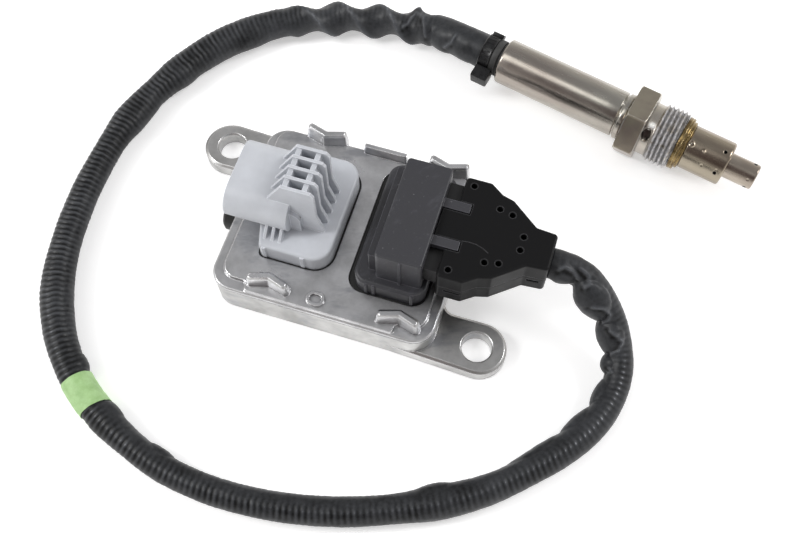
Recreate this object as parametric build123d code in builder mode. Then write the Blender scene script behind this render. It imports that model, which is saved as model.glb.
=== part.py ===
from build123d import *
from math import acos, cos, pi, radians, sin, tan
import os

os.makedirs("parts", exist_ok=True)

# Nitrogen oxide sensor: die-cast control unit, cable plug, conduit and screw-in probe.
# All sizes in mm. Origin: midway between the two mounting holes, on the base face.
# +X runs along the unit towards the cable plug, +Y away from the latch side, +Z up.

# Control unit housing
unit_length = 71.4
unit_depth = 60.0
unit_corner = 7.0
base_height = 11.3
wall = 2.4
floor_thickness = 2.0
fit_clearance = 0.15
seal_clearance = 0.05

# Mounting ears, set on opposite corners
ear_overhang = 13.23
ear_inset = 7.34
ear_radius = 8.5
ear_reach = 0.8
ear_thickness = 5.0
ear_bevel_height = 0.6
ear_bevel_draft = 55.0
ear_hole_radius = 4.68
ear_hole_chamfer = 0.4
ear_root_length = 13.7
ear_web_radius = 3.5

# Cover and its raised plateau
cover_seal_thickness = 0.3
cover_seal_inset = 0.4
cover_flange = 1.3
cover_bevel = 0.4
lip_width = 1.2
lip_depth = 2.0
plateau_rise = 1.0
plateau_margin = 2.9
plateau_corner = 5.0
plateau_draft = 20.0
plateau_near_step = 3.6
plateau_far_step = 0.5
plateau_land_half = 24.0
plateau_land_step = 0.5
plateau_land_round = 1.2

# Chevron bosses, cast bar and oval boss on the cover
chevron_span = 13.8
chevron_drop = 1.9
chevron_width = 3.7
chevron_height = 4.6
chevron_inset = 0.5
chevron_bevel = 0.6
chevron_round = 1.2
chevron_first_x = -16.7
chevron_pitch = 41.3
chevron_near_inset = 5.8
chevron_far_inset = 1.4
bar_left = -3.9
bar_length = 15.0
bar_width = 2.3
bar_height = 3.5
bar_draft = 6.0
bar_inset = 1.0
oval_x = -1.6
oval_inset = 4.3
oval_length = 5.8
oval_width = 4.6
oval_height = 0.8
oval_rim = 1.0

# Circuit board and its posts
board_thickness = 1.6
board_height = 6.0
board_gap = 0.5
post_radius = 2.2
post_inset = 5.0

# Headers: values that both share
pad_rise = 6.5
pad_edge = 1.0
header_flange = 1.4
header_flange_overlap = 1.1
header_seat_gap = 0.1
seal_recess = 0.4
pin_thickness = 1.0
pin_clearance = 0.1
crush_rib_start = 2.5
crush_rib_end = 0.6
crush_rib_depth = 0.4

# Pale harness header: sealed pad
harness_margin = 9.3
harness_length = 25.4
harness_near_margin = 13.6
harness_far_margin = 9.8
harness_slant = 3.6
harness_slant_length = 12.4
harness_corner = 6.0
harness_small_corner = 1.2
harness_gap = 0.7
harness_foot_inset = 2.5
harness_rib_width = 1.2
harness_rib_offsets = (1.6, 14.0)

# Pale harness header: oval socket, its lug and the webs below it
socket_y = 1.2
socket_width = 25.2
socket_height = 13.0
socket_rise = 6.1
socket_wall = 1.6
socket_overhang = 8.6
socket_length = 20.0
socket_depth = 16.0
lug_height = 9.0
lug_shoulder = 4.5
lug_length = 3.2
lug_round = 1.4
web_count = 3
web_pitch = 2.4
web_inset = 4.2
web_thickness = 0.9
web_foot = 2.4
web_root = 1.2
web_height = 3.8

# Pale harness header: comb of stiffening ribs and its pins
comb_count = 5
comb_pitch = 3.6
comb_thickness = 1.0
comb_height = 21.6
comb_knee_height = 8.6
comb_inset = 4.4
comb_slant = 5.0
comb_corner = 1.0
comb_corner_drop = 1.5
comb_toe = 1.8
comb_toe_height = 2.0
comb_end_inset = 4.0
comb_core_inset = 2.4
comb_core_height = 4.6
comb_core_toe = 2.2
gusset_width = 1.5
gusset_drop = 0.7
gusset_inset_left = 1.0
gusset_inset_right = 2.2
harness_pins = 5
harness_pin_pitch = 3.8
harness_pin_inset = 2.5
harness_pin_setback = 5.5

# Black sensor header: pad
sensor_margin = 5.7
sensor_length = 22.3
sensor_near_margin = 11.3
sensor_far_margin = 5.8
sensor_corner = 4.5
sensor_gap_left = 2.2
sensor_gap = 0.7
sensor_foot_inset = 3.0
sensor_rib_width = 0.9
sensor_rib_offsets = (4.6, 7.0, 18.9)

# Black sensor header: upright block, mouth, latch arms and pins
block_margin = 1.5
block_length = 14.2
block_near_inset = 2.85
block_far_inset = 5.65
block_roof = 4.2
block_edge = 1.2
block_top_round = 0.5
ledge_length = 2.7
ledge_drop = 0.8
ledge_near_inset = 2.0
ledge_far_inset = 1.0
face_rib_width = 0.7
face_rib_depth = 0.5
face_rib_offset = 0.6
mouth_wall = 2.0
mouth_floor = 2.5
mouth_height = 7.9
mouth_depth = 8.0
arm_offset = 6.4
arm_width = 3.0
arm_length = 8.2
arm_root = 1.0
arm_thickness = 2.2
arm_lift = 0.3
sensor_pins = 8
sensor_pin_margin = 4.0
sensor_pin_inset = 3.2
sensor_pin_setback = 1.5
sensor_pin_rise = 4.1

# Cable plug: two shells around a connector body
plug_gap = 4.3
plug_length = 30.6
plug_side_cover = 1.85
plug_step = 3.85
plug_taper = 1.0
plug_end_half = 6.0
plug_neck_flare = 0.5
plug_shoulder_length = 7.8
plug_taper_length = 4.0
plug_waist_length = 15.5
plug_neck_length = 6.6
plug_corner = 1.2
plug_floor = 4.2
plug_cover = 2.2
plug_edge = 0.7
plug_wall = 2.2
seam_gap = 0.1
tab_gap = 0.4
tab_root = 2.0
tongue_shoulder = 2.6
tongue_reach = 8.2
tongue_clearance = 0.3
tongue_overlap = 0.5
shoulder_gap = 0.2
pocket_overlap = 0.7
cavity_wall = 1.5
arm_slot_gap = 0.35
shell_hole_radius = 0.95
shell_hole_depth = 6.0
shell_column_radius = 1.9
corner_hole = (2.9, 2.7)
column_holes = ((12.2, 8.0), (16.2, 8.85), (21.1, 14.85))
latch_slot_height = 1.1
latch_slot_depth = 0.8
latch_slot_drop = 1.6
front_slot_inset = 2.5
front_slot_length = 5.1
rear_slot_inset = 1.9
rear_slot_length = 3.7
socket_spacing = 1.2

# Vent cap on the left wall
vent_y = -1.5
vent_foot = 0.1
vent_head = 0.6
vent_brim = 1.7
vent_reach = 4.6
vent_chamfer = 0.8

# Probe: lengths along its axis are measured from the rear end of the sleeve
probe_heading = -13.25
probe_rear_x = 30.35
probe_rear_y = 79.54
seat_gap = 0.1
sleeve_radius = 7.8
sleeve_wall = 0.6
sleeve_length = 44.2
sleeve_edge = 0.9
sleeve_front_round = 0.5
bead_groove = 0.7
groove_depth = 0.4
bead_length = 1.7
bead_height = 0.1
bead_round = 0.4
body_step = 1.2
body_wall = 2.0
body_tail = 6.0
body_nose = 3.0

# Probe: union nut and seat collar
nut_play = 0.3
nut_bore_clearance = 0.08
hex_flats = 22.0
hex_length = 6.8
hex_chamfer = 0.3
neck_length = 3.2
neck_radius = 8.7
neck_hole_radius = 0.9
neck_hole_angle = 125.0
thread_length = 8.0
thread_radius = 10.0
thread_chamfer = 0.8
collar_length = 1.9
collar_radius = 9.05
collar_round = 0.4
collar_step_length = 1.3
collar_step_radius = 8.2
collar_step_draft = 0.3

# Probe: protection tubes
outer_tube_step = 0.8
outer_tube_length = 14.2
outer_tube_wall = 0.5
outer_tube_round = 1.6
tip_radius = 4.25
tip_wall = 0.45
tip_length = 9.8
tip_round = 0.4
tip_mouth_radius = 1.3
tube_flange = 0.5
tube_hole_radius = 0.55
tube_holes = 6
outer_hole_setback = 2.2
outer_hole_angle = 20.0
tip_hole_setback = 1.5
tip_hole_angle = 5.0

# Probe: sensing ceramic and what holds it
element_width = 4.2
element_thickness = 1.4
element_clearance = 0.1
element_setback = 3.0
insulator_tail = 8.0
carrier_gap = 5.2
carrier_overlap = 9.0
carrier_setback = 2.0
grommet_flange = 1.8
grommet_flange_step = 0.6
grommet_depth = 8.0
grommet_bite = 1.2

# Conduit with its tape band and tie
conduit_radius = 5.3
conduit_lift = 0.05
last_run = 12.0
tape_length = 10.6
tape_thickness = 0.15
tape_clearance = 0.2
tape_run = 10
tie_width = 3.4
tie_thickness = 1.2
tie_clearance = 0.15
tie_gap = 1.3
tie_bite = 0.4
tie_head = (5.4, 5.2, 4.6)
tie_tail = (3.6, 2.2, 1.6)
tie_tail_rise = 1.5

# Levels and edges of the housing, worked out from the sizes above
half_length = unit_length / 2
half_depth = unit_depth / 2
ear_x = half_length + ear_overhang
ear_y = half_depth - ear_inset
inner_length = unit_length - 2 * wall
inner_depth = unit_depth - 2 * wall
inner_corner = unit_corner - wall
cover_bottom = base_height + cover_seal_thickness
cover_flange_top = cover_bottom + cover_flange
cover_top = cover_flange_top + plateau_rise
board_top = board_height + board_thickness
flange_top = cover_bottom - header_seat_gap
flange_bottom = flange_top - header_flange
foot_bottom = board_top + header_seat_gap
pad_height = cover_top + pad_rise
crush_rib_foot = flange_top + crush_rib_start
crush_rib_length = pad_height - crush_rib_end - crush_rib_foot
vent_stem_radius = (base_height - floor_thickness - vent_foot - vent_head) / 2
vent_z = floor_thickness + vent_foot + vent_stem_radius
vent_radius = vent_stem_radius + vent_brim

# Places on the harness header
harness_left = -half_length + harness_margin
harness_near_left = harness_left + harness_slant
harness_right = harness_left + harness_length
harness_near = -half_depth + harness_near_margin
harness_far = half_depth - harness_far_margin
socket_mouth_x = harness_left - socket_overhang
socket_end_x = socket_mouth_x + socket_length
socket_centre_z = pad_height + socket_rise
socket_top = socket_centre_z + socket_height / 2
socket_near = socket_y - socket_width / 2
comb_half = (comb_count - 1) / 2 * comb_pitch + comb_thickness / 2
comb_left = harness_left + comb_inset
comb_foot = harness_right - comb_end_inset
comb_right = comb_foot - comb_toe
comb_top_left = comb_left + comb_slant
comb_top_right = comb_right - comb_corner
comb_top = pad_height + comb_height
harness_pin_x = socket_end_x + harness_pin_inset
harness_pin_tip = socket_mouth_x + harness_pin_setback

# Places on the sensor header
sensor_right = half_length - sensor_margin
sensor_left = sensor_right - sensor_length
sensor_near = -half_depth + sensor_near_margin
sensor_far = half_depth - sensor_far_margin
opening_left = sensor_left - sensor_gap_left + sensor_gap
block_right = sensor_right - block_margin
block_left = block_right - block_length
block_near = sensor_near + block_near_inset
block_far = sensor_far - block_far_inset
block_half = (block_far - block_near) / 2
axis_y = (block_far + block_near) / 2
mouth_half = block_half - mouth_wall
mouth_bottom = pad_height + mouth_floor
mouth_top = mouth_bottom + mouth_height
block_top = mouth_top + block_roof
ledge_left = block_left - ledge_length
ledge_top = mouth_top - ledge_drop
sensor_pin_pitch = 2 * (mouth_half - sensor_pin_margin) / (sensor_pins - 1)
sensor_pin_x = block_left + sensor_pin_inset
sensor_pin_tip = block_right - sensor_pin_setback
sensor_pin_z = mouth_bottom + sensor_pin_rise

# Places on the plug
plug_left = block_right + plug_gap
plug_right = plug_left + plug_length
plug_half = mouth_half + plug_side_cover
plug_mid_half = plug_half - plug_step
plug_shoulder_x = plug_left + plug_shoulder_length
plug_bottom = mouth_bottom - plug_floor
plug_top = mouth_top + plug_cover
plug_mid_z = (plug_bottom + plug_top) / 2
tab_left = block_right + tab_gap
tongue_left = block_right - mouth_depth + tongue_clearance
tongue_right = plug_left + tongue_reach
tongue_low = mouth_bottom + tongue_clearance
tongue_high = mouth_top - tongue_clearance
tongue_half = mouth_half - tongue_shoulder
pocket_low = tongue_low - seam_gap
pocket_high = tongue_high + seam_gap
pocket_half = tongue_half + seam_gap
cavity_left = tongue_right + cavity_wall
cavity_top = plug_top - plug_wall
cavity_bottom = plug_bottom + plug_wall
barrel_radius = (sensor_pin_pitch - socket_spacing) / 2
arm_top = plug_top + arm_lift


def save(builder, name):
    builder.part.label = name
    export_step(builder.part, "parts/" + name + ".step")


def frame(left, right, near, far, corner, grow=0.0):
    """Rounded rectangle between four edges, grown outwards by a margin."""
    with Locations(((left + right) / 2, (near + far) / 2)):
        RectangleRounded(right - left + 2 * grow, far - near + 2 * grow, corner + grow)


def strip(left, right, middle_y, half_width, mode=Mode.ADD):
    """Rectangle between two X values, centred on a Y."""
    with Locations(((left + right) / 2, middle_y)):
        Rectangle(right - left, 2 * half_width, mode=mode)


def row(count, pitch, middle):
    """Evenly spaced places, centred on a middle."""
    return [middle + (k - (count - 1) / 2) * pitch for k in range(count)]


def side_plane(y):
    """Upright plane along X at a given Y, sketched with Z up."""
    return Plane(origin=(0, y, 0), x_dir=(1, 0, 0), z_dir=(0, -1, 0))


def tub_outline(inset=0.0):
    """Outline of the tub and cover, moved inwards by a margin."""
    RectangleRounded(unit_length - 2 * inset, unit_depth - 2 * inset, unit_corner - inset)


def ear_outline(side):
    """One ear with its root along the tub: a hull of a round end and a rectangle."""
    root_left = half_length - ear_root_length
    root_depth = half_depth - ear_y + ear_radius
    with BuildSketch() as ear:
        with Locations((side * (ear_x + ear_reach), -side * ear_y)):
            Circle(ear_radius)
        with Locations((side * (root_left + half_length) / 2, -side * (half_depth - root_depth / 2))):
            Rectangle(half_length - root_left, root_depth)
        make_hull()
    return ear.sketch


# Housing base: tub with two diagonal ears
with BuildPart() as housing_base:
    with BuildSketch() as foot_outline:
        tub_outline()
        add(ear_outline(1))
        add(ear_outline(-1))
        ear_roots = foot_outline.vertices().filter_by(
            lambda v: abs(abs(v.X) - half_length) < 0.01
            and abs(abs(v.Y) - (ear_y - ear_radius)) < 0.01
        )
        fillet(ear_roots, ear_web_radius)
    extrude(amount=ear_thickness - ear_bevel_height)
    with BuildSketch(Plane.XY.offset(ear_thickness - ear_bevel_height)):
        add(foot_outline.sketch)
    extrude(amount=ear_bevel_height, taper=ear_bevel_draft)
    with BuildSketch():
        tub_outline()
    extrude(amount=base_height)
    with BuildSketch(Plane.XY.offset(floor_thickness)):
        tub_outline(wall)
    extrude(amount=base_height - floor_thickness, mode=Mode.SUBTRACT)
    with BuildSketch(Plane.XY.offset(floor_thickness)):
        with GridLocations(inner_length - 2 * post_inset, inner_depth - 2 * post_inset, 2, 2):
            Circle(post_radius)
    extrude(amount=board_height - floor_thickness)
    with BuildSketch():
        with Locations((ear_x, -ear_y), (-ear_x, ear_y)):
            Circle(ear_hole_radius)
    extrude(amount=ear_thickness, mode=Mode.SUBTRACT)
    with BuildSketch(Plane.YZ.offset(-half_length)):
        with Locations((vent_y, vent_z)):
            Circle(vent_stem_radius + fit_clearance)
    extrude(amount=wall, mode=Mode.SUBTRACT)
    hole_rims = housing_base.edges().filter_by(GeomType.CIRCLE).filter_by(
        lambda e: abs(e.radius - ear_hole_radius) < 0.01
        and abs(e.center().Z - ear_thickness) < 0.01
    )
    chamfer(hole_rims, ear_hole_chamfer)
save(housing_base, "housing_base")

# Seal between the tub and the cover
with BuildPart() as cover_seal:
    with BuildSketch(Plane.XY.offset(base_height)):
        tub_outline(cover_seal_inset)
        RectangleRounded(inner_length, inner_depth, inner_corner, mode=Mode.SUBTRACT)
    extrude(amount=cover_seal_thickness)
save(cover_seal, "cover_seal")


def harness_pad(grow=0.0):
    """Outline of the pale header's pad, its left side slanted, grown outwards by a margin."""
    with BuildLine() as outline:
        FilletPolyline(
            (harness_near_left, harness_near), (harness_right, harness_near),
            (harness_right, harness_far), (harness_left, harness_far),
            (harness_left, harness_near + harness_slant_length),
            radius=[harness_small_corner, harness_corner, harness_corner, harness_corner,
                    harness_corner],
            close=True,
        )
    make_face(outline.wire().offset_2d(grow).edges() if grow else outline.edges())


def sensor_pad(grow=0.0):
    """Outline of the black header's pad, grown outwards by a margin."""
    frame(sensor_left, sensor_right, sensor_near, sensor_far, sensor_corner, grow)


def sensor_opening(grow=0.0):
    """Outline of the cover's opening for the black header, wider on the left than the pad."""
    frame(opening_left, sensor_right, sensor_near, sensor_far, sensor_corner, grow)


def chevron(centre_x, centre_y, point_up, inset=0.0):
    """Bent bar with its apex towards the middle of the unit and rounded corners."""
    reach = chevron_span / 2 - inset
    half = chevron_width / 2 - inset
    drop = -chevron_drop * point_up
    with BuildLine() as outline:
        Polyline(
            (centre_x - reach, centre_y + drop - half),
            (centre_x, centre_y - half),
            (centre_x + reach, centre_y + drop - half),
            (centre_x + reach, centre_y + drop + half),
            (centre_x, centre_y + half),
            (centre_x - reach, centre_y + drop + half),
            close=True,
        )
    make_face(outline.edges())


# Cover: flange, plateau, chevrons, cast bar, oval boss, two openings and a locating lip
chevron_layers = (
    (cover_top, 0.0),
    (cover_top + chevron_height - chevron_bevel, chevron_inset),
    (cover_top + chevron_height, chevron_inset + chevron_bevel),
)
with BuildPart() as housing_cover:
    with BuildSketch(Plane.XY.offset(cover_bottom)):
        tub_outline()
    extrude(amount=cover_flange - cover_bevel)
    with BuildSketch(Plane.XY.offset(cover_flange_top - cover_bevel)):
        tub_outline()
    extrude(amount=cover_bevel, taper=45)
    with BuildSketch(Plane.XY.offset(cover_flange_top)) as plateau:
        plateau_half = half_length - plateau_margin
        frame(-plateau_half, plateau_half, -half_depth + plateau_near_step,
              half_depth - plateau_far_step, plateau_corner)
        with Locations((0, -half_depth / 2)):
            Rectangle(2 * plateau_land_half, half_depth - 2 * plateau_land_step)
        fillet(plateau.vertices().filter_by(
            lambda v: abs(abs(v.X) - plateau_land_half) < 0.01), plateau_land_round)
    extrude(amount=plateau_rise, taper=plateau_draft)
    chevron_rows = ((-half_depth + chevron_near_inset, 1), (half_depth - chevron_far_inset, -1))
    for row_y, point_up in chevron_rows:
        for step in range(2):
            chevron_x = chevron_first_x + step * chevron_pitch
            with BuildSketch(Plane.XY.offset(cover_bottom)) as boss_root:
                chevron(chevron_x, row_y, point_up)
                fillet(boss_root.vertices(), chevron_round)
            extrude(amount=cover_top - cover_bottom)
            for layer in zip(chevron_layers, chevron_layers[1:]):
                for level, inset in layer:
                    with BuildSketch(Plane.XY.offset(level)) as boss_section:
                        chevron(chevron_x, row_y, point_up, inset)
                        fillet(boss_section.vertices(), chevron_round - inset / 2)
                loft(ruled=True)
    with BuildSketch(Plane.XY.offset(cover_flange_top)):
        with Locations((bar_left + bar_length / 2, half_depth - bar_inset)):
            RectangleRounded(bar_length, bar_width, bar_width / 3)
    extrude(amount=plateau_rise + bar_height, taper=bar_draft)
    with BuildSketch(Plane.XY.offset(cover_top)):
        with Locations((oval_x, -half_depth + oval_inset)):
            SlotOverall(oval_length, oval_width)
            SlotOverall(oval_length - 2 * oval_rim, oval_width - 2 * oval_rim, mode=Mode.SUBTRACT)
    extrude(amount=oval_height)
    with BuildSketch(Plane.XY.offset(cover_bottom)):
        harness_pad(harness_gap)
        sensor_opening(sensor_gap)
    extrude(amount=cover_top - cover_bottom, mode=Mode.SUBTRACT)
    with BuildSketch(Plane.XY.offset(cover_bottom)):
        tub_outline(wall + fit_clearance)
        lip_inset = 2 * (wall + fit_clearance + lip_width)
        RectangleRounded(unit_length - lip_inset, unit_depth - lip_inset,
                         unit_corner - lip_inset / 2, mode=Mode.SUBTRACT)
    extrude(amount=-lip_depth)
save(housing_cover, "housing_cover")

# Circuit board on its posts
with BuildPart() as circuit_board:
    with BuildSketch(Plane.XY.offset(board_height)):
        tub_outline(wall + board_gap)
        with Locations(*[(harness_pin_x, y) for y in row(harness_pins, harness_pin_pitch, socket_y)]):
            Circle(pin_thickness, mode=Mode.SUBTRACT)
        with Locations(*[(sensor_pin_x, y) for y in row(sensor_pins, sensor_pin_pitch, axis_y)]):
            Circle(pin_thickness, mode=Mode.SUBTRACT)
    extrude(amount=board_thickness)
save(circuit_board, "circuit_board")


def bent_pins(places, foot_x, tip_x, level, margin):
    """L-shaped flat pins in a row: up from the board at foot_x, then level to tip_x."""
    outer = 1 if tip_x > foot_x else -1
    half = pin_thickness / 2 + margin
    for y in places:
        with BuildSketch(side_plane(y)) as bent_outline:
            with BuildLine():
                Polyline(
                    (foot_x - outer * half, board_height - margin),
                    (foot_x - outer * half, level + half),
                    (tip_x, level + half),
                    (tip_x, level - half),
                    (foot_x + outer * half, level - half),
                    (foot_x + outer * half, board_height - margin),
                    close=True,
                )
            make_face()
        extrude(bent_outline.sketch, amount=half, both=True,
                mode=Mode.ADD if margin == 0 else Mode.SUBTRACT)


def harness_pin_row(margin):
    bent_pins(row(harness_pins, harness_pin_pitch, socket_y), harness_pin_x, harness_pin_tip,
              socket_centre_z, margin)


def sensor_pin_row(margin):
    bent_pins(row(sensor_pins, sensor_pin_pitch, axis_y), sensor_pin_x, sensor_pin_tip,
              sensor_pin_z, margin)


def crush_ribs(left, offsets, near, width):
    """Upright ribs on the near side of a header's pad."""
    for offset in offsets:
        with BuildSketch(Plane.XY.offset(crush_rib_foot)) as rib:
            with Locations((left + offset, near)):
                Rectangle(width, 2 * crush_rib_depth)
        extrude(rib.sketch, amount=crush_rib_length)


# Pale harness header: sealed pad, oval socket and a comb of stiffening ribs
with BuildPart() as harness_header:
    with BuildSketch(Plane.XY.offset(flange_bottom)):
        harness_pad()
    extrude(amount=pad_height - flange_bottom)
    fillet(harness_header.faces().sort_by(Axis.Z)[-1].edges(), pad_edge)
    with BuildSketch(Plane.XY.offset(flange_bottom)):
        harness_pad(harness_gap + header_flange_overlap)
    extrude(amount=header_flange)
    with BuildSketch(Plane.XY.offset(foot_bottom)):
        frame(harness_near_left, harness_right, harness_near, harness_far, harness_corner,
              -harness_foot_inset)
    extrude(amount=flange_bottom - foot_bottom)
    crush_ribs(harness_near_left, harness_rib_offsets, harness_near, harness_rib_width)
    with BuildSketch(Plane.YZ.offset(socket_mouth_x)):
        with Locations((socket_y, socket_centre_z)):
            SlotOverall(socket_width, socket_height)
    extrude(amount=socket_length)
    with BuildSketch(side_plane(socket_y)):
        with BuildLine():
            Polyline(
                (comb_left, pad_height), (comb_left, socket_top),
                (comb_right - comb_core_inset, socket_top),
                (comb_right - comb_core_inset, pad_height + comb_core_height),
                (comb_foot - comb_core_toe, pad_height), close=True,
            )
        make_face()
    extrude(amount=comb_half, both=True)
    for rib_y in row(comb_count, comb_pitch, socket_y):
        with BuildSketch(side_plane(rib_y)):
            with BuildLine():
                Polyline(
                    (comb_left, pad_height), (comb_left, socket_top), (comb_top_left, comb_top),
                    (comb_top_right, comb_top), (comb_right, comb_top - comb_corner_drop),
                    (comb_right, pad_height + comb_knee_height),
                    (comb_foot, pad_height + comb_toe_height), (comb_foot, pad_height), close=True,
                )
            make_face()
        extrude(amount=comb_thickness / 2, both=True)
    with BuildSketch(side_plane(socket_y)):
        for gusset_x in (comb_top_left + gusset_inset_left, comb_top_right - gusset_inset_right):
            with BuildLine():
                Polyline(
                    (gusset_x - gusset_width, socket_top),
                    (gusset_x - gusset_width / 2, comb_top - gusset_drop),
                    (gusset_x + gusset_width / 2, comb_top - gusset_drop),
                    (gusset_x + gusset_width, socket_top), close=True,
                )
            make_face()
    extrude(amount=comb_half - comb_thickness / 2, both=True)
    lug_end_x = socket_end_x + lug_length
    lug_top = pad_height + lug_height
    with BuildSketch(side_plane(socket_y - comb_half)):
        with BuildLine():
            Line((socket_end_x, pad_height), (socket_end_x, lug_top))
            ThreePointArc((socket_end_x, lug_top), (lug_end_x - lug_round / 2, lug_top - lug_round),
                          (lug_end_x, pad_height + lug_shoulder))
            Line((lug_end_x, pad_height + lug_shoulder), (lug_end_x, pad_height))
            Line((lug_end_x, pad_height), (socket_end_x, pad_height))
        make_face()
    extrude(amount=lug_round)
    for k in range(web_count):
        with BuildSketch(Plane.YZ.offset(harness_left + web_inset + k * web_pitch)):
            with BuildLine():
                Polyline((socket_near - web_foot, pad_height), (socket_near + web_root, pad_height),
                         (socket_near + web_root, pad_height + web_height), close=True)
            make_face()
        extrude(amount=web_thickness)
    with BuildSketch(Plane.YZ.offset(socket_mouth_x)):
        with Locations((socket_y, socket_centre_z)):
            SlotOverall(socket_width - 2 * socket_wall, socket_height - 2 * socket_wall)
    extrude(amount=socket_depth, mode=Mode.SUBTRACT)
    harness_pin_row(pin_clearance)
save(harness_header, "harness_header")

with BuildPart() as harness_terminals:
    harness_pin_row(0)
save(harness_terminals, "harness_terminals")

# Ring seals that close the gaps between the header pads and the cover
with BuildPart() as harness_header_seal:
    with BuildSketch(Plane.XY.offset(flange_top)):
        harness_pad(harness_gap - seal_clearance)
    extrude(amount=cover_top - seal_recess - flange_top)
    with BuildSketch(Plane.XY.offset(flange_top)):
        harness_pad(seal_clearance)
    extrude(amount=cover_top - flange_top, mode=Mode.SUBTRACT)
save(harness_header_seal, "harness_header_seal")

with BuildPart() as sensor_header_seal:
    with BuildSketch(Plane.XY.offset(flange_top)):
        sensor_opening(sensor_gap - seal_clearance)
    extrude(amount=cover_top - seal_recess - flange_top)
    with BuildSketch(Plane.XY.offset(flange_top)):
        sensor_pad(seal_clearance)
    extrude(amount=cover_top - flange_top, mode=Mode.SUBTRACT)
save(sensor_header_seal, "sensor_header_seal")

# Black sensor header: pad, upright block with its mouth towards +X, two latch arms
with BuildPart() as sensor_header:
    with BuildSketch(Plane.XY.offset(flange_bottom)):
        sensor_pad()
    extrude(amount=pad_height - flange_bottom)
    fillet(sensor_header.faces().sort_by(Axis.Z)[-1].edges(), pad_edge)
    with BuildSketch(Plane.XY.offset(flange_bottom)):
        sensor_opening(sensor_gap + header_flange_overlap)
    extrude(amount=header_flange)
    with BuildSketch(Plane.XY.offset(foot_bottom)):
        sensor_pad(-sensor_foot_inset)
    extrude(amount=flange_bottom - foot_bottom)
    with BuildSketch(Plane.XY.offset(pad_height)):
        frame(block_left, block_right, block_near, block_far, block_edge)
    extrude(amount=block_top - pad_height)
    fillet(sensor_header.faces().sort_by(Axis.Z)[-1].edges(), block_top_round)
    with BuildSketch(Plane.XY.offset(pad_height)):
        frame(ledge_left, block_left + block_edge, block_near + ledge_near_inset,
              block_far - ledge_far_inset, block_edge / 2)
    extrude(amount=ledge_top - pad_height)
    with BuildSketch(Plane.XY.offset(pad_height)):
        with Locations(((block_left + block_right) / 2 + face_rib_offset, block_near)):
            Rectangle(face_rib_width, 2 * face_rib_depth)
    extrude(amount=block_top - block_top_round - pad_height)
    crush_ribs(sensor_left, sensor_rib_offsets, sensor_near, sensor_rib_width)
    with BuildSketch(Plane.YZ.offset(block_right)):
        with Locations((axis_y, (mouth_bottom + mouth_top) / 2)):
            Rectangle(2 * mouth_half, mouth_height)
    extrude(amount=-mouth_depth, mode=Mode.SUBTRACT)
    with BuildSketch(Plane.YZ.offset(block_right - arm_root)):
        with Locations((axis_y - arm_offset, arm_top - arm_thickness / 2),
                       (axis_y + arm_offset, arm_top - arm_thickness / 2)):
            Rectangle(arm_width, arm_thickness)
    extrude(amount=arm_length + arm_root)
    sensor_pin_row(pin_clearance)
save(sensor_header, "sensor_header")

with BuildPart() as sensor_terminals:
    sensor_pin_row(0)
save(sensor_terminals, "sensor_terminals")

# Vent cap pressed into the left wall
with BuildPart() as vent_cap:
    with BuildSketch(Plane.YZ.offset(-half_length)):
        with Locations((vent_y, vent_z)):
            Circle(vent_stem_radius)
    extrude(amount=wall)
    with BuildSketch(Plane.YZ.offset(-half_length)):
        with Locations((vent_y, vent_z)):
            Circle(vent_radius)
    extrude(amount=-vent_reach)
    chamfer(vent_cap.edges().group_by(Axis.X)[0], vent_chamfer)
save(vent_cap, "vent_cap")

# Connector body of the plug, half in the header's mouth and half between the shells
barrel_places = [(y, sensor_pin_z) for y in row(sensor_pins, sensor_pin_pitch, axis_y)]
with BuildPart() as plug_connector_body:
    with BuildSketch(Plane.XY.offset(tongue_low)):
        strip(tongue_left, plug_left - shoulder_gap, axis_y, mouth_half - tongue_clearance)
        strip(plug_left - tongue_overlap, tongue_right + tongue_overlap, axis_y, tongue_half)
    extrude(amount=tongue_high - tongue_low)
    with BuildSketch(Plane.YZ.offset(tongue_left)):
        with Locations(*barrel_places):
            Circle(barrel_radius + pin_clearance)
    extrude(amount=tongue_right + 2 * tongue_overlap - tongue_left, mode=Mode.SUBTRACT)
save(plug_connector_body, "plug_connector_body")

with BuildPart() as plug_sockets:
    barrel_start = sensor_pin_tip + tongue_clearance
    with BuildSketch(Plane.YZ.offset(barrel_start)):
        with Locations(*barrel_places):
            Circle(barrel_radius)
    extrude(amount=tongue_right - barrel_start)
save(plug_sockets, "plug_sockets")


def plug_outline(inset=0.0):
    """Outline of the plug seen from above: wide at the header, drawn in to the conduit."""
    far_side = [
        (plug_left + inset, plug_half),
        (plug_shoulder_x, plug_half),
        (plug_shoulder_x + plug_taper_length, plug_mid_half + plug_taper),
        (plug_left + plug_waist_length, plug_mid_half),
        (plug_right - plug_neck_length, plug_end_half + plug_neck_flare),
        (plug_right - inset, plug_end_half),
    ]
    corners = [(x, axis_y + y - inset) for x, y in far_side]
    corners += [(x, axis_y - y + inset) for x, y in reversed(far_side)]
    with BuildLine() as outline:
        Polyline(*corners, close=True)
    make_face(outline.edges())


def both_sides(places):
    """Places given as X and a distance from the plug's middle, on both of its sides."""
    return [(x, axis_y + side * y) for x, y in places for side in (1, -1)]


# Upper and lower plug shells, parted at mid height
columns = [(plug_left + x, plug_half - y) for x, y in column_holes]
shell_holes = [(plug_left + corner_hole[0], plug_half - corner_hole[1])] + columns

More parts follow.
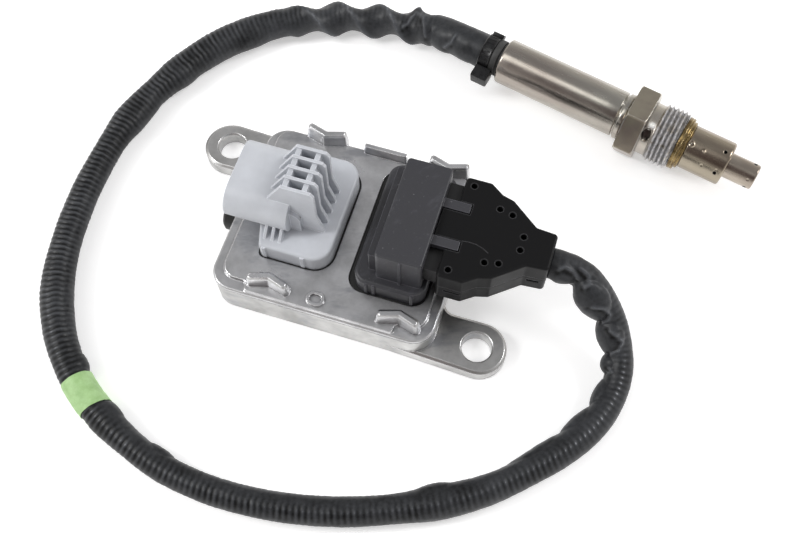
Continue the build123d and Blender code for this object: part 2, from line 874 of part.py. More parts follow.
with BuildPart() as plug_upper_shell:
    with BuildSketch(Plane.XY.offset(plug_mid_z + seam_gap / 2)) as upper_outline:
        plug_outline()
        fillet(upper_outline.vertices(), plug_corner)
    extrude(amount=plug_top - plug_mid_z - seam_gap / 2)
    fillet(plug_upper_shell.faces().sort_by(Axis.Z)[-1].edges(), plug_edge)
    with BuildSketch(Plane.XY.offset(pocket_high)):
        strip(tab_left, plug_left + tab_root, axis_y, arm_offset - arm_width / 2 - arm_slot_gap)
    extrude(amount=plug_top - pocket_high)
    with BuildSketch(Plane.XY.offset(pocket_high)):
        for side in (1, -1):
            strip(plug_left - tab_root, block_right + arm_length + arm_slot_gap,
                  axis_y + side * arm_offset, arm_width / 2 + arm_slot_gap)
    extrude(amount=plug_top - pocket_high, mode=Mode.SUBTRACT)
    with BuildSketch(Plane.XY.offset(plug_mid_z)):
        strip(plug_left - pocket_overlap, tongue_right + pocket_overlap, axis_y, pocket_half)
    extrude(amount=pocket_high - plug_mid_z, mode=Mode.SUBTRACT)
    with BuildSketch(Plane.XY.offset(plug_mid_z)):
        plug_outline(plug_wall)
        strip(plug_left, cavity_left, axis_y, plug_half, Mode.SUBTRACT)
    extrude(amount=cavity_top - plug_mid_z, mode=Mode.SUBTRACT)
    with BuildSketch(Plane.XY.offset(plug_mid_z + seam_gap / 2)):
        with Locations(*both_sides(columns)):
            Circle(shell_column_radius)
    extrude(amount=cavity_top - plug_mid_z - seam_gap / 2)
    with BuildSketch(Plane.XY.offset(plug_top)):
        with Locations(*both_sides(shell_holes)):
            Circle(shell_hole_radius)
    extrude(amount=-shell_hole_depth, mode=Mode.SUBTRACT)
save(plug_upper_shell, "plug_upper_shell")

with BuildPart() as plug_lower_shell:
    with BuildSketch(Plane.XY.offset(plug_bottom)) as lower_outline:
        plug_outline()
        fillet(lower_outline.vertices(), plug_corner)
    extrude(amount=plug_mid_z - seam_gap / 2 - plug_bottom)
    fillet(plug_lower_shell.faces().sort_by(Axis.Z)[0].edges(), plug_edge)
    with BuildSketch(Plane.XY.offset(pocket_low)):
        strip(plug_left - pocket_overlap, tongue_right + pocket_overlap, axis_y, pocket_half)
    extrude(amount=plug_mid_z - pocket_low, mode=Mode.SUBTRACT)
    with BuildSketch(Plane.XY.offset(cavity_bottom)):
        plug_outline(plug_wall)
        strip(plug_left, cavity_left, axis_y, plug_half, Mode.SUBTRACT)
    extrude(amount=plug_mid_z - cavity_bottom, mode=Mode.SUBTRACT)
    front_slot_x = plug_left + front_slot_inset
    rear_slot_x = plug_right - rear_slot_inset - rear_slot_length
    with BuildSketch(Plane.XY.offset(plug_mid_z - latch_slot_drop - latch_slot_height)):
        for side in (1, -1):
            strip(front_slot_x, front_slot_x + front_slot_length, axis_y + side * plug_half,
                  latch_slot_depth)
            strip(rear_slot_x, rear_slot_x + rear_slot_length,
                  axis_y + side * (plug_end_half + plug_neck_flare / 2), latch_slot_depth)
    extrude(amount=latch_slot_height, mode=Mode.SUBTRACT)
save(plug_lower_shell, "plug_lower_shell")

# Probe frame: axis level above the surface, heading slightly towards -Y
heading = radians(probe_heading)
axis_dir = Vector(cos(heading), sin(heading), 0)
side_dir = Vector(-sin(heading), cos(heading), 0)
up_dir = Vector(0, 0, 1)
probe_rear = Vector(probe_rear_x, probe_rear_y, hex_flats / 2)
probe_axis = Axis(origin=probe_rear, direction=axis_dir)
probe_profile = Plane(origin=probe_rear, x_dir=axis_dir, z_dir=axis_dir.cross(up_dir))

# Stations along the probe and radii that fit one another
sleeve_front = sleeve_length + bead_groove + bead_length
nut_rear = sleeve_front + nut_play
hex_front = nut_rear + hex_length
thread_rear = hex_front + neck_length
thread_front = thread_rear + thread_length
collar_rear = thread_front + nut_play
collar_front = collar_rear + collar_length
tube_rear = collar_front + collar_step_length
tube_front = tube_rear + outer_tube_length
tip_front = tube_front + tip_length
body_front = tube_rear + body_nose
tip_rear = body_front + seat_gap
sleeve_bore = sleeve_radius - sleeve_wall
bead_radius = sleeve_radius + bead_height
body_radius = sleeve_radius - body_step
core_bore = body_radius - body_wall
nut_bore = body_radius + nut_bore_clearance
outer_tube_radius = body_radius + outer_tube_step
tube_bore = outer_tube_radius - outer_tube_wall
tip_bore = tip_radius - tip_wall


def turn(points, mode=Mode.ADD):
    """Revolve a profile of (station, radius) points about the probe axis."""
    with BuildSketch(probe_profile) as profile:
        with BuildLine():
            Polyline(*points, close=True)
        make_face()
    revolve(profile.sketch, axis=probe_axis, mode=mode)


def cross_plane(station):
    """Plane square to the probe axis at a station."""
    return Plane(origin=probe_rear + axis_dir * station, x_dir=side_dir, z_dir=axis_dir)


def radial_plane(station, angle):
    """Plane through the probe axis whose normal points outwards at an angle above level."""
    outward = side_dir * cos(radians(angle)) + up_dir * sin(radians(angle))
    return Plane(origin=probe_rear + axis_dir * station, x_dir=axis_dir, z_dir=outward)


def ring_edges(builder, radius, station):
    """Round edges about the probe axis with a given radius at a station."""
    centre = probe_rear + axis_dir * station
    return builder.edges().filter_by(GeomType.CIRCLE).filter_by(
        lambda e: abs(e.radius - radius) < 0.01 and (e.arc_center - centre).length < 0.01
    )


# Grommet in the rear of the sleeve
with BuildPart() as rear_grommet:
    grommet_bore = conduit_radius - grommet_bite
    grommet_radius = sleeve_radius - grommet_flange_step
    grommet_fit = sleeve_bore - fit_clearance
    turn([(-grommet_flange, grommet_bore), (-grommet_flange, grommet_radius),
          (-seat_gap, grommet_radius), (-seat_gap, grommet_fit), (grommet_depth, grommet_fit),
          (grommet_depth, grommet_bore)])
save(rear_grommet, "rear_grommet")

# Steel sleeve with a rolled rear edge and a bead at the front
with BuildPart() as probe_sleeve:
    groove_radius = sleeve_radius - groove_depth
    bead_rear = sleeve_length + bead_groove
    turn([(0, sleeve_bore), (0, sleeve_radius - sleeve_edge / 2), (sleeve_edge / 2, sleeve_radius),
          (sleeve_length - sleeve_front_round, sleeve_radius), (sleeve_length, groove_radius),
          (bead_rear, groove_radius), (bead_rear + bead_round, bead_radius),
          (sleeve_front - bead_round, bead_radius), (sleeve_front, bead_radius - bead_round),
          (sleeve_front, body_radius), (sleeve_length, body_radius), (sleeve_length, sleeve_bore)])
save(probe_sleeve, "probe_sleeve")

# Body: turned steel core that carries the nut, the collar and both protection tubes
with BuildPart() as probe_body:
    body_rear = sleeve_length - body_tail
    shoulder = sleeve_length - seat_gap
    tail_radius = sleeve_bore - fit_clearance
    turn([(body_rear, core_bore), (body_rear, tail_radius), (shoulder, tail_radius),
          (shoulder, body_radius), (body_front, body_radius), (body_front, core_bore)])
save(probe_body, "probe_body")

# Union nut: hexagon, relieved neck and thread on one captive piece
with BuildPart() as union_nut:
    with BuildSketch(cross_plane(nut_rear)):
        RegularPolygon(hex_flats / 2, 6, major_radius=False)
    extrude(amount=hex_length)
    crown_radius = hex_flats / 2 - hex_chamfer
    corner_radius = hex_flats / 2 / cos(radians(30))
    crown_length = (corner_radius - crown_radius) * tan(radians(30))
    for face, inner in ((nut_rear, 1), (hex_front, -1)):
        turn([(face - inner * seat_gap, crown_radius), (face, crown_radius),
              (face + inner * crown_length, corner_radius),
              (face + inner * crown_length, 2 * corner_radius),
              (face - inner * seat_gap, 2 * corner_radius)], Mode.SUBTRACT)
    turn([(hex_front, nut_bore), (hex_front, neck_radius), (thread_rear, neck_radius),
          (thread_rear + thread_chamfer, thread_radius), (thread_front - thread_chamfer, thread_radius),
          (thread_front, thread_radius - thread_chamfer), (thread_front, nut_bore)])
    turn([(nut_rear, 0), (nut_rear, nut_bore), (hex_front, nut_bore), (hex_front, 0)], Mode.SUBTRACT)
    with BuildSketch(radial_plane((hex_front + thread_rear) / 2, neck_hole_angle)):
        Circle(neck_hole_radius)
    extrude(amount=thread_radius, both=True, mode=Mode.SUBTRACT)
save(union_nut, "union_nut")

# Gold-toned seat collar pressed on the body
with BuildPart() as seat_collar:
    turn([(collar_rear, body_radius), (collar_rear, collar_radius - collar_round),
          (collar_rear + collar_round, collar_radius), (collar_front - collar_round, collar_radius),
          (collar_front, collar_step_radius), (tube_rear, collar_step_radius - collar_step_draft),
          (tube_rear, body_radius)])
save(seat_collar, "seat_collar")

# Outer protection tube, drawn in at its front edge
with BuildPart() as outer_protection_tube:
    turn([(tube_rear, body_radius), (tube_rear, outer_tube_radius), (tube_front, outer_tube_radius),
          (tube_front, tip_radius), (tube_front - outer_tube_wall, tip_radius),
          (tube_front - outer_tube_wall, tube_bore), (tip_rear, tube_bore), (tip_rear, body_radius)])
    fillet(ring_edges(outer_protection_tube, outer_tube_radius, tube_front), outer_tube_round)
    fillet(ring_edges(outer_protection_tube, tube_bore, tube_front - outer_tube_wall),
           outer_tube_round - outer_tube_wall)
    for k in range(tube_holes):
        hole_angle = outer_hole_angle + 360 * k / tube_holes
        with BuildSketch(radial_plane(tube_front - outer_hole_setback, hole_angle)):
            Circle(tube_hole_radius)
        extrude(amount=2 * outer_tube_radius, mode=Mode.SUBTRACT)
save(outer_protection_tube, "outer_protection_tube")

# Inner protection tube that reaches out as the tip
with BuildPart() as inner_protection_tube:
    flange_front = tip_rear + tube_flange
    turn([(tip_rear, tip_bore), (tip_rear, body_radius), (flange_front, body_radius),
          (flange_front, tip_radius), (tip_front - tip_round, tip_radius),
          (tip_front, tip_radius - tip_round), (tip_front, tip_mouth_radius),
          (tip_front - tip_wall, tip_mouth_radius), (tip_front - tip_wall, tip_bore)])
    for k in range(tube_holes):
        hole_angle = tip_hole_angle + 360 * k / tube_holes
        with BuildSketch(radial_plane(tip_front - tip_hole_setback, hole_angle)):
            Circle(tube_hole_radius)
        extrude(amount=2 * tip_radius, mode=Mode.SUBTRACT)
save(inner_protection_tube, "inner_protection_tube")

# Ceramic element through the body, with its insulators and contact carrier
insulator_rear = sleeve_length - insulator_tail
carrier_front = insulator_rear - carrier_gap
element_rear = carrier_front - carrier_overlap
element_front = tip_front - element_setback
insulator_radius = core_bore - fit_clearance
with BuildPart() as ceramic_element:
    with BuildSketch(cross_plane(element_rear)):
        Rectangle(element_width, element_thickness)
    extrude(amount=element_front - element_rear)
save(ceramic_element, "ceramic_element")


def insulator(rear, front, radius):
    """Round ceramic block with a slot for the element."""
    with BuildSketch(cross_plane(rear)) as section:
        Circle(radius)
        Rectangle(element_width + 2 * element_clearance, element_thickness + 2 * element_clearance,
                  mode=Mode.SUBTRACT)
    extrude(section.sketch, amount=front - rear)


with BuildPart() as rear_insulator:
    insulator(insulator_rear, thread_rear, insulator_radius)
save(rear_insulator, "rear_insulator")

with BuildPart() as seal_packing:
    insulator(thread_rear, collar_rear, insulator_radius)
save(seal_packing, "seal_packing")

with BuildPart() as contact_carrier:
    insulator(grommet_depth + carrier_setback, carrier_front, sleeve_bore - fit_clearance)
save(contact_carrier, "contact_carrier")

# Conduit: plain tube from the plug's end face to the grommet, lying on the surface
tape_bore = conduit_radius + tape_clearance
conduit_rest = tape_bore + tape_thickness + conduit_lift
conduit_points = [
    (plug_right, axis_y, plug_mid_z),
    (71.6, axis_y, plug_mid_z),
    (80.0, -1.4, 19.6),
    (87.9, -8.6, 11.2),
    (92.4, -20.5, 6.4),
    (88.8, -36.0, conduit_rest),
    (77.6, -50.8, conduit_rest),
    (54.0, -71.4, conduit_rest),
    (16.0, -86.0, conduit_rest),
    (-22.0, -88.4, conduit_rest),
    (-52.0, -77.6, conduit_rest),
    (-71.5, -62.6, conduit_rest),
    (-84.8, -40.0, conduit_rest),
    (-89.8, -6.0, conduit_rest),
    (-86.5, 28.0, conduit_rest),
    (-69.4, 61.8, conduit_rest),
    (-42.8, 82.4, conduit_rest),
    (-14.0, 88.9, conduit_rest),
    (4.0, 87.8, 7.6),
    tuple(probe_rear - axis_dir * (grommet_flange + last_run)),
    tuple(probe_rear - axis_dir * grommet_flange),
]


def bend_radius(before, corner, after):
    """Radius whose arc takes 0.45 of the shorter run on each side of a corner."""
    run_in = Vector(*corner) - Vector(*before)
    run_out = Vector(*after) - Vector(*corner)
    turn_angle = acos(run_in.dot(run_out) / (run_in.length * run_out.length))
    return 0.45 * min(run_in.length, run_out.length) / tan(turn_angle / 2)


conduit_radii = [bend_radius(*conduit_points[k:k + 3]) for k in range(len(conduit_points) - 2)]
with BuildPart() as sensor_conduit:
    with BuildLine() as conduit_route:
        FilletPolyline(*conduit_points, radius=conduit_radii)
    with BuildSketch(Plane(origin=conduit_points[0], z_dir=(1, 0, 0))):
        Circle(conduit_radius)
    sweep()
save(sensor_conduit, "sensor_conduit")
conduit_length = conduit_route.wires()[0].length
section_volume = pi * conduit_radius ** 2 * conduit_length
print("bend radii", [round(radius, 1) for radius in conduit_radii])
print("conduit length", round(conduit_length, 1))
print("conduit volume over section times length",
      round(sensor_conduit.part.volume / section_volume, 4))

# Green tape band around the conduit
tape_from = Vector(*conduit_points[tape_run])
tape_to = Vector(*conduit_points[tape_run + 1])
tape_dir = (tape_to - tape_from).normalized()
tape_start = (tape_from + tape_to) * 0.5 - tape_dir * (tape_length / 2)
with BuildPart() as green_tape:
    with BuildSketch(Plane(origin=tape_start, z_dir=tape_dir)):
        Circle(tape_bore + tape_thickness)
        Circle(tape_bore, mode=Mode.SUBTRACT)
    extrude(amount=tape_length)
save(green_tape, "green_tape")

# Cable tie that clamps the conduit behind the grommet
with BuildPart() as cable_tie:
    tie_front = -grommet_flange - tie_gap
    tie_middle = tie_front - tie_width / 2
    tie_bore = conduit_radius + tie_clearance
    tie_outer = tie_bore + tie_thickness
    turn([(tie_front - tie_width, tie_bore), (tie_front - tie_width, tie_outer),
          (tie_front, tie_outer), (tie_front, tie_bore)])
    head_along, head_out, head_across = tie_head
    with BuildSketch(cross_plane(tie_middle - head_along / 2)):
        with Locations((tie_bite - tie_outer - head_out / 2, 0)):
            Rectangle(head_out, head_across)
    extrude(amount=head_along)
    tail_along, tail_out, tail_across = tie_tail
    with BuildSketch(cross_plane(tie_middle - tail_along / 2)):
        with Locations((tie_outer - tie_bite + tail_out / 2, tie_tail_rise)):
            Rectangle(tail_out, tail_across)
    extrude(amount=tail_along)
save(cable_tie, "cable_tie")
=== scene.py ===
from bisect import bisect_right
from math import cos, exp, pi, radians, sin, sqrt, tau

import bmesh
import bpy
from mathutils import Matrix, Vector, noise


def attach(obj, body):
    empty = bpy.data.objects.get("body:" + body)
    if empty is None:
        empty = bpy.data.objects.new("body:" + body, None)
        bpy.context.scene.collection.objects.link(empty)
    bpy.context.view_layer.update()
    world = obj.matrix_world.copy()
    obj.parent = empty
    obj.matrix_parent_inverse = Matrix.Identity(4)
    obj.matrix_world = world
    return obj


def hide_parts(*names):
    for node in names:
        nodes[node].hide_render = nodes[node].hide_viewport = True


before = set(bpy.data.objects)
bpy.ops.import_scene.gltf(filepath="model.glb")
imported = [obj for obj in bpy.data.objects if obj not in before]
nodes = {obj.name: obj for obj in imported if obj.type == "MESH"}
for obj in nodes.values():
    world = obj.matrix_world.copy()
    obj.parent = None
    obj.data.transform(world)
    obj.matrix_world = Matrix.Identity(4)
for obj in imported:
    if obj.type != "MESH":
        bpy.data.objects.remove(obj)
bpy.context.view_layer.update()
MM = 0.001
bpy.context.scene.view_settings.view_transform = "Standard"


# Camera at the photograph's viewing angle, as solved from the photograph
CAMERA_LENS = 43.47
CAMERA_PLACE = (0.05698, -0.12799, 0.28352)
CAMERA_TILT = radians(25.06)
CAMERA_TURN = radians(17.22)


def link(obj):
    bpy.context.scene.collection.objects.link(obj)
    return obj


def add_camera():
    data = bpy.data.cameras.new("photo_camera")
    data.sensor_width = 36.0
    data.lens = CAMERA_LENS
    data.clip_start = 0.01
    data.clip_end = 20.0
    camera = link(bpy.data.objects.new("photo_camera", data))
    camera.location = CAMERA_PLACE
    camera.rotation_euler = (CAMERA_TILT, 0.0, CAMERA_TURN)
    bpy.context.scene.camera = camera


add_camera()


# Small helpers for meshes
def work_object(name, work, sharp):
    """Smooth object from a bmesh, its faces outward; edges over an angle in degrees stay sharp."""
    bmesh.ops.recalc_face_normals(work, faces=work.faces)
    work.normal_update()
    for face in work.faces:
        face.smooth = True
    for edge in work.edges:
        if sharp and len(edge.link_faces) == 2:
            edge.smooth = edge.calc_face_angle(0.0) < radians(sharp)
    mesh = bpy.data.meshes.new(name)
    work.to_mesh(mesh)
    work.free()
    return link(bpy.data.objects.new(name, mesh))


def mesh_object(name, verts, faces, sharp=None):
    """Smooth object from points and faces, finished in the same way."""
    source = bpy.data.meshes.new(name)
    source.from_pydata(verts, [], faces)
    source.validate()
    work = bmesh.new()
    work.from_mesh(source)
    bpy.data.meshes.remove(source)
    return work_object(name, work, sharp)


def ring_faces(rows, segments, closed=False):
    """Quads between rings of points, with the last ring joined to the first where closed."""
    faces = []
    for row in range(rows if closed else rows - 1):
        following = (row + 1) % rows
        for k in range(segments):
            beside = (k + 1) % segments
            faces.append((row * segments + k, row * segments + beside,
                          following * segments + beside, following * segments + k))
    return faces


def add_rings(work, rings, closed=False):
    """The same quads between rings of a bmesh's vertices."""
    verts = [vert for ring in rings for vert in ring]
    for face in ring_faces(len(rings), len(rings[0]), closed):
        work.faces.new([verts[index] for index in face])


def finish_piece(piece, material, replaced=None, body="sensor"):
    """Gives a piece its material, the node it stands for and the body it rides on."""
    piece.data.materials.append(material)
    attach(piece, body)
    if replaced:
        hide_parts(replaced)
    return piece


def clamp(value, low, high):
    return max(low, min(high, value))


def bump_at(value, centre, half_width):
    """Smooth bump of height 1 at centre that falls to 0 at half_width on each side."""
    ratio = abs(value - centre) / half_width
    return 0.0 if ratio >= 1.0 else 0.5 + 0.5 * cos(pi * ratio)


def between(stations, place):
    """Smooth value at a place from (place, value) pairs."""
    for (start, first), (end, last) in zip(stations, stations[1:]):
        if place <= end:
            ratio = clamp((place - start) / (end - start), 0.0, 1.0)
            return first + (last - first) * (0.5 - 0.5 * cos(pi * ratio))
    return stations[-1][1]


def signed(angle):
    """The same angle between minus and plus half a turn."""
    return (angle + pi) % tau - pi


def surface_noise(place, angle, along, around, shift=0.0):
    """Smooth noise over a round surface, with how fast it varies along and round it."""
    return noise.noise(Vector((place * along, cos(angle) * around, sin(angle) * around + shift)))


# Materials
class Nodes:
    """A node tree with a few helpers to add procedural nodes."""

    def __init__(self, tree):
        self.tree = tree

    def node(self, kind, **settings):
        made = self.tree.nodes.new(kind)
        for key, value in settings.items():
            setattr(made, key, value)
        return made

    def join(self, source, target):
        self.tree.links.new(source, target)

    def ramp(self, source, low, high, first, last):
        """Colour that goes from the first to the last between two levels of its source."""
        made = self.node("ShaderNodeValToRGB")
        made.color_ramp.elements[0].position = low
        made.color_ramp.elements[1].position = high
        made.color_ramp.elements[0].color = (*first, 1.0)
        made.color_ramp.elements[1].color = (*last, 1.0)
        self.join(source, made.inputs["Fac"])
        return made.outputs["Color"]

    def mask(self, source, low, high, share):
        """Mask that rises from 0 to a share between two levels of its source."""
        return self.ramp(source, low, high, (0.0, 0.0, 0.0), (share, share, share))

    def level(self, source, low, high, first, last):
        """Value that goes from the first to the last between two levels of its source."""
        made = self.node("ShaderNodeMapRange")
        made.inputs["From Min"].default_value = low
        made.inputs["From Max"].default_value = high
        made.inputs["To Min"].default_value = first
        made.inputs["To Max"].default_value = last
        self.join(source, made.inputs["Value"])
        return made.outputs["Result"]

    def maths(self, operation, first, second, kind="ShaderNodeMath"):
        """Value of an operation on two inputs, each a socket or fixed."""
        made = self.node(kind, operation=operation)
        for index, value in enumerate((first, second)):
            if isinstance(value, bpy.types.NodeSocket):
                self.join(value, made.inputs[index])
            else:
                made.inputs[index].default_value = value
        return made.outputs["Value"]

    def measure(self, operation, first, second):
        """Dot product or distance of two vectors, each a socket or fixed."""
        return self.maths(operation, first, second, "ShaderNodeVectorMath")

    def mix(self, factor, first, second):
        made = self.node("ShaderNodeMix", data_type="RGBA")
        self.join(factor, made.inputs["Factor"])
        for socket, value in ((made.inputs["A"], first), (made.inputs["B"], second)):
            if isinstance(value, tuple):
                socket.default_value = (*value, 1.0)
            else:
                self.join(value, socket)
        return made.outputs["Result"]


class Shader(Nodes):
    """A Principled material, with helpers that work in the object's own coordinates."""

    def __init__(self, name, colour, rough, metallic=0.0, **sockets):
        self.material = bpy.data.materials.new(name)
        self.material.use_nodes = True
        super().__init__(self.material.node_tree)
        self.bsdf = self.tree.nodes["Principled BSDF"]
        self.bsdf.inputs["Base Color"].default_value = (*colour, 1.0)
        self.bsdf.inputs["Roughness"].default_value = rough
        self.bsdf.inputs["Metallic"].default_value = metallic
        for socket, value in sockets.items():
            self.bsdf.inputs[socket.replace("_", " ")].default_value = value
        self.material.diffuse_color = (*colour, 1.0)
        self.place = self.node("ShaderNodeTexCoord").outputs["Object"]

    def stretched(self, scale, turn):
        """The object's coordinates, stretched by a scale and turned round the vertical."""
        mapping = self.node("ShaderNodeMapping", vector_type="TEXTURE")
        mapping.inputs["Rotation"].default_value = (0.0, 0.0, turn)
        mapping.inputs["Scale"].default_value = scale
        self.join(self.place, mapping.inputs["Vector"])
        return mapping.outputs["Vector"]

    def noise(self, scale, detail=3.0, rough=0.55, stretch=None, turn=0.0):
        made = self.node("ShaderNodeTexNoise")
        made.inputs["Scale"].default_value = scale
        made.inputs["Detail"].default_value = detail
        made.inputs["Roughness"].default_value = rough
        self.join(self.stretched(stretch, turn) if stretch else self.place, made.inputs["Vector"])
        return made.outputs["Fac"]

    def edges(self, radius):
        """Rounded-edge normal and a mask that is 1 along the edges."""
        made = self.node("ShaderNodeBevel", samples=6)
        made.inputs["Radius"].default_value = radius
        rounded = made.outputs["Normal"]
        plain = self.node("ShaderNodeNewGeometry").outputs["Normal"]
        return rounded, self.level(self.measure("DOT_PRODUCT", rounded, plain), 0.995, 0.9, 0.0, 1.0)

    def painted_crevice_shade(self, source, distance, low, high, darkest):
        """Painted shade: colour darkened in grooves and inner corners within a distance, from ambient
        occlusion.
        """
        made = self.node("ShaderNodeAmbientOcclusion", samples=6)
        made.inputs["Distance"].default_value = distance
        shadow = self.level(made.outputs["AO"], low, high, 1.0, 0.0)
        return self.mix(shadow, source, darkest)

    def bump(self, source, distance, strength=1.0, normal=None):
        made = self.node("ShaderNodeBump")
        made.inputs["Distance"].default_value = distance
        made.inputs["Strength"].default_value = strength
        self.join(source, made.inputs["Height"])
        if normal is not None:
            self.join(normal, made.inputs["Normal"])
        return made.outputs["Normal"]

    def spot(self, centre, full, edge, share):
        """Mask round a point: a share within one distance in mm and nothing beyond another."""
        away = self.measure("DISTANCE", self.place, centre)
        return self.level(away, full * MM, edge * MM, share, 0.0)

    def to(self, socket, source):
        self.join(source, self.bsdf.inputs[socket])


def shade(colour, factor):
    return tuple(min(1.0, part * factor) for part in colour)


# Colours of rubbed edges; on the aluminium they are also a painted highlight.
WORN_ALUMINIUM_AND_HIGHLIGHT = (0.9, 0.9, 0.91)
WORN_STEEL = (0.82, 0.8, 0.76)
# Distances in mm from its centre to which painted shade makes a hole in a tube dark, and where that
# ends
HOLE_SHADE_FULL = 0.62
HOLE_SHADE_EDGE = 0.72


def cast_metal(name, colour, rough):
    """Die-cast aluminium: clouded skin, bluish stains, fine grain, bright edges that are partly wear
    and partly a painted highlight, and painted shade in grooves and corners.
    """
    shader = Shader(name, colour, rough, metallic=1.0)
    soft, mask = shader.edges(0.4 * MM)
    cloud = shader.noise(75, 5, 0.6)
    flow = shader.noise(160, 4, 0.6, stretch=(2.6, 1.0, 1.0), turn=radians(20))
    body = shader.ramp(cloud, 0.36, 0.64, shade(colour, 0.6), colour)
    body = shader.mix(shader.mask(flow, 0.54, 0.68, 0.55), body, (0.27, 0.28, 0.31))
    specks = shader.mask(shader.noise(900, 3, 0.7), 0.68, 0.76, 0.6)
    body = shader.mix(specks, body, (0.85, 0.85, 0.86))
    # Lighter edges: partly wear, partly a painted highlight.
    body = shader.mix(mask, body, WORN_ALUMINIUM_AND_HIGHLIGHT)
    # Painted shade darkens the colour in grooves and corners.
    shader.to("Base Color", shader.painted_crevice_shade(body, 1.6 * MM, 0.3, 0.82, (0.08, 0.08, 0.09)))
    worn = shader.level(cloud, 0.3, 0.7, rough + 0.1, rough - 0.08)
    shader.to("Roughness", shader.maths("MULTIPLY", worn, shader.level(mask, 0, 1, 1.0, 0.6)))
    ripple = shader.bump(shader.noise(230, 3), 0.09 * MM, 0.6, soft)
    shader.to("Normal", shader.bump(shader.noise(2600, 2), 0.02 * MM, 0.6, ripple))
    return shader.material


def moulded(name, colour, rough, edge_wear_and_highlight=1.25, grain=0.012, edge=0.3, dust=0.0, **sockets):
    """Moulded plastic: fine grain, slight colour drift, lighter rounded edges that are partly wear and
    partly a painted highlight, optional pale dust.
    """
    shader = Shader(name, colour, rough, **sockets)
    soft, mask = shader.edges(edge * MM)
    cloud = shader.noise(140, 3)
    body = shader.ramp(cloud, 0.3, 0.7, shade(colour, 0.88), colour)
    # Lighter rounded edges: partly wear, partly a painted highlight.
    body = shader.mix(mask, body, shade(colour, edge_wear_and_highlight))
    if dust:
        specks = shader.mask(shader.noise(1100, 5, 0.75), 0.63, 0.71, dust)
        body = shader.mix(specks, body, (0.26, 0.26, 0.27))
        scuffs = shader.noise(260, 4, 0.7, stretch=(1.0, 3.0, 1.0), turn=radians(-35))
        body = shader.mix(shader.mask(scuffs, 0.56, 0.68, 0.4), body, shade(colour, 1.9))
    shader.to("Base Color", body)
    shader.to("Roughness", shader.level(cloud, 0.3, 0.7, rough + 0.05, rough - 0.05))
    shader.to("Normal", shader.bump(shader.noise(3000, 3), grain * MM, 0.8, soft))
    return shader.material


HEADING = radians(-13.25)


def steel(name, colour, tint, rough, holes=()):
    """Turned stainless steel: streaks along the probe, a reddish heat tint in patches, and painted
    shade in its holes.
    """
    shader = Shader(name, colour, rough, metallic=1.0)
    soft, mask = shader.edges(0.25 * MM)
    patches = shader.noise(120, 4, 0.6, stretch=(5.0, 1.0, 1.0), turn=HEADING)
    body = shader.ramp(patches, 0.4, 0.62, colour, tint)
    dusky = shader.mask(shader.noise(60, 3), 0.45, 0.7, 0.25)
    body = shader.mix(dusky, body, shade(colour, 0.62))
    body = shader.mix(mask, body, WORN_STEEL)
    # Painted shade: near-black colour round each hole.
    for centre in holes:
        body = shader.mix(shader.spot(centre, HOLE_SHADE_FULL, HOLE_SHADE_EDGE, 1.0), body, (0.004, 0.004, 0.004))
    shader.to("Base Color", body)
    streaks = shader.noise(700, 3, stretch=(6.0, 1.0, 1.0), turn=HEADING)
    shader.to("Roughness", shader.level(streaks, 0.3, 0.7, rough - 0.05, rough + 0.08))
    shader.to("Normal", shader.bump(shader.noise(1500, 3, 0.7), 0.02 * MM, 0.6, soft))
    return shader.material


def rubber(name, colour):
    """Matt dark rubber, slightly clouded."""
    shader = Shader(name, colour, 0.6)
    cloud = shader.noise(400, 3)
    shader.to("Base Color", shader.ramp(cloud, 0.3, 0.7, shade(colour, 0.7), shade(colour, 1.3)))
    shader.to("Roughness", shader.level(cloud, 0.3, 0.7, 0.45, 0.65))
    shader.to("Normal", shader.bump(shader.noise(1800, 3), 0.01 * MM))
    return shader.material


def plain_metal(name, colour, rough):
    """Plated metal of the contacts, which are mostly hidden."""
    shader = Shader(name, colour, rough, metallic=1.0)
    cloud = shader.noise(900, 2)
    shader.to("Base Color", shader.ramp(cloud, 0.3, 0.7, shade(colour, 0.8), colour))
    shader.to("Roughness", shader.level(cloud, 0.3, 0.7, rough - 0.06, rough + 0.06))
    return shader.material


def ceramic(name, colour):
    """Pressed ceramic with a fine grain."""
    shader = Shader(name, colour, 0.45)
    shader.to("Base Color", shader.ramp(shader.noise(300, 3), 0.3, 0.7, shade(colour, 0.9), colour))
    shader.to("Normal", shader.bump(shader.noise(2400, 2), 0.005 * MM))
    return shader.material


def board_green(name):
    """Board laminate with faint tracks under its green coat."""
    coat = (0.02, 0.12, 0.05)
    shader = Shader(name, coat, 0.35)
    shader.to("Base Color", shader.ramp(shader.noise(500, 1), 0.5, 0.52, coat, (0.03, 0.17, 0.07)))
    return shader.material


aluminium_base = cast_metal("cast_aluminium_tub", (0.63, 0.625, 0.615), 0.34)
aluminium_cover = cast_metal("cast_aluminium_cover", (0.69, 0.69, 0.7), 0.34)
pale_plastic = moulded("pale_plastic", (0.56, 0.58, 0.62), 0.42, edge_wear_and_highlight=1.5, edge=0.35)
charcoal_plastic = moulded("charcoal_plastic", (0.036, 0.036, 0.042), 0.42, edge_wear_and_highlight=3.0, dust=0.6)
plug_plastic = moulded("plug_plastic", (0.0095, 0.0095, 0.01), 0.34, edge_wear_and_highlight=7.0, grain=0.02, edge=0.5,
                       Specular_IOR_Level=0.1)
insert_plastic = moulded("insert_plastic", (0.006, 0.006, 0.0065), 0.45, edge_wear_and_highlight=2.5)
vent_plastic = moulded("vent_plastic", (0.008, 0.008, 0.008), 0.5, edge_wear_and_highlight=2.0)
seal_rubber = rubber("seal_rubber", (0.008, 0.008, 0.008))
terminal_metal = plain_metal("terminal_metal", (0.75, 0.66, 0.42), 0.25)
ceramic_white = ceramic("ceramic_white", (0.8, 0.78, 0.72))
packing = ceramic("pressed_packing", (0.6, 0.58, 0.52))
board = board_green("board_laminate")
sleeve_steel = steel("sleeve_steel", (0.43, 0.41, 0.365), (0.36, 0.32, 0.285), 0.22)
body_steel = steel("body_steel", (0.5, 0.47, 0.44), (0.36, 0.32, 0.28), 0.3)

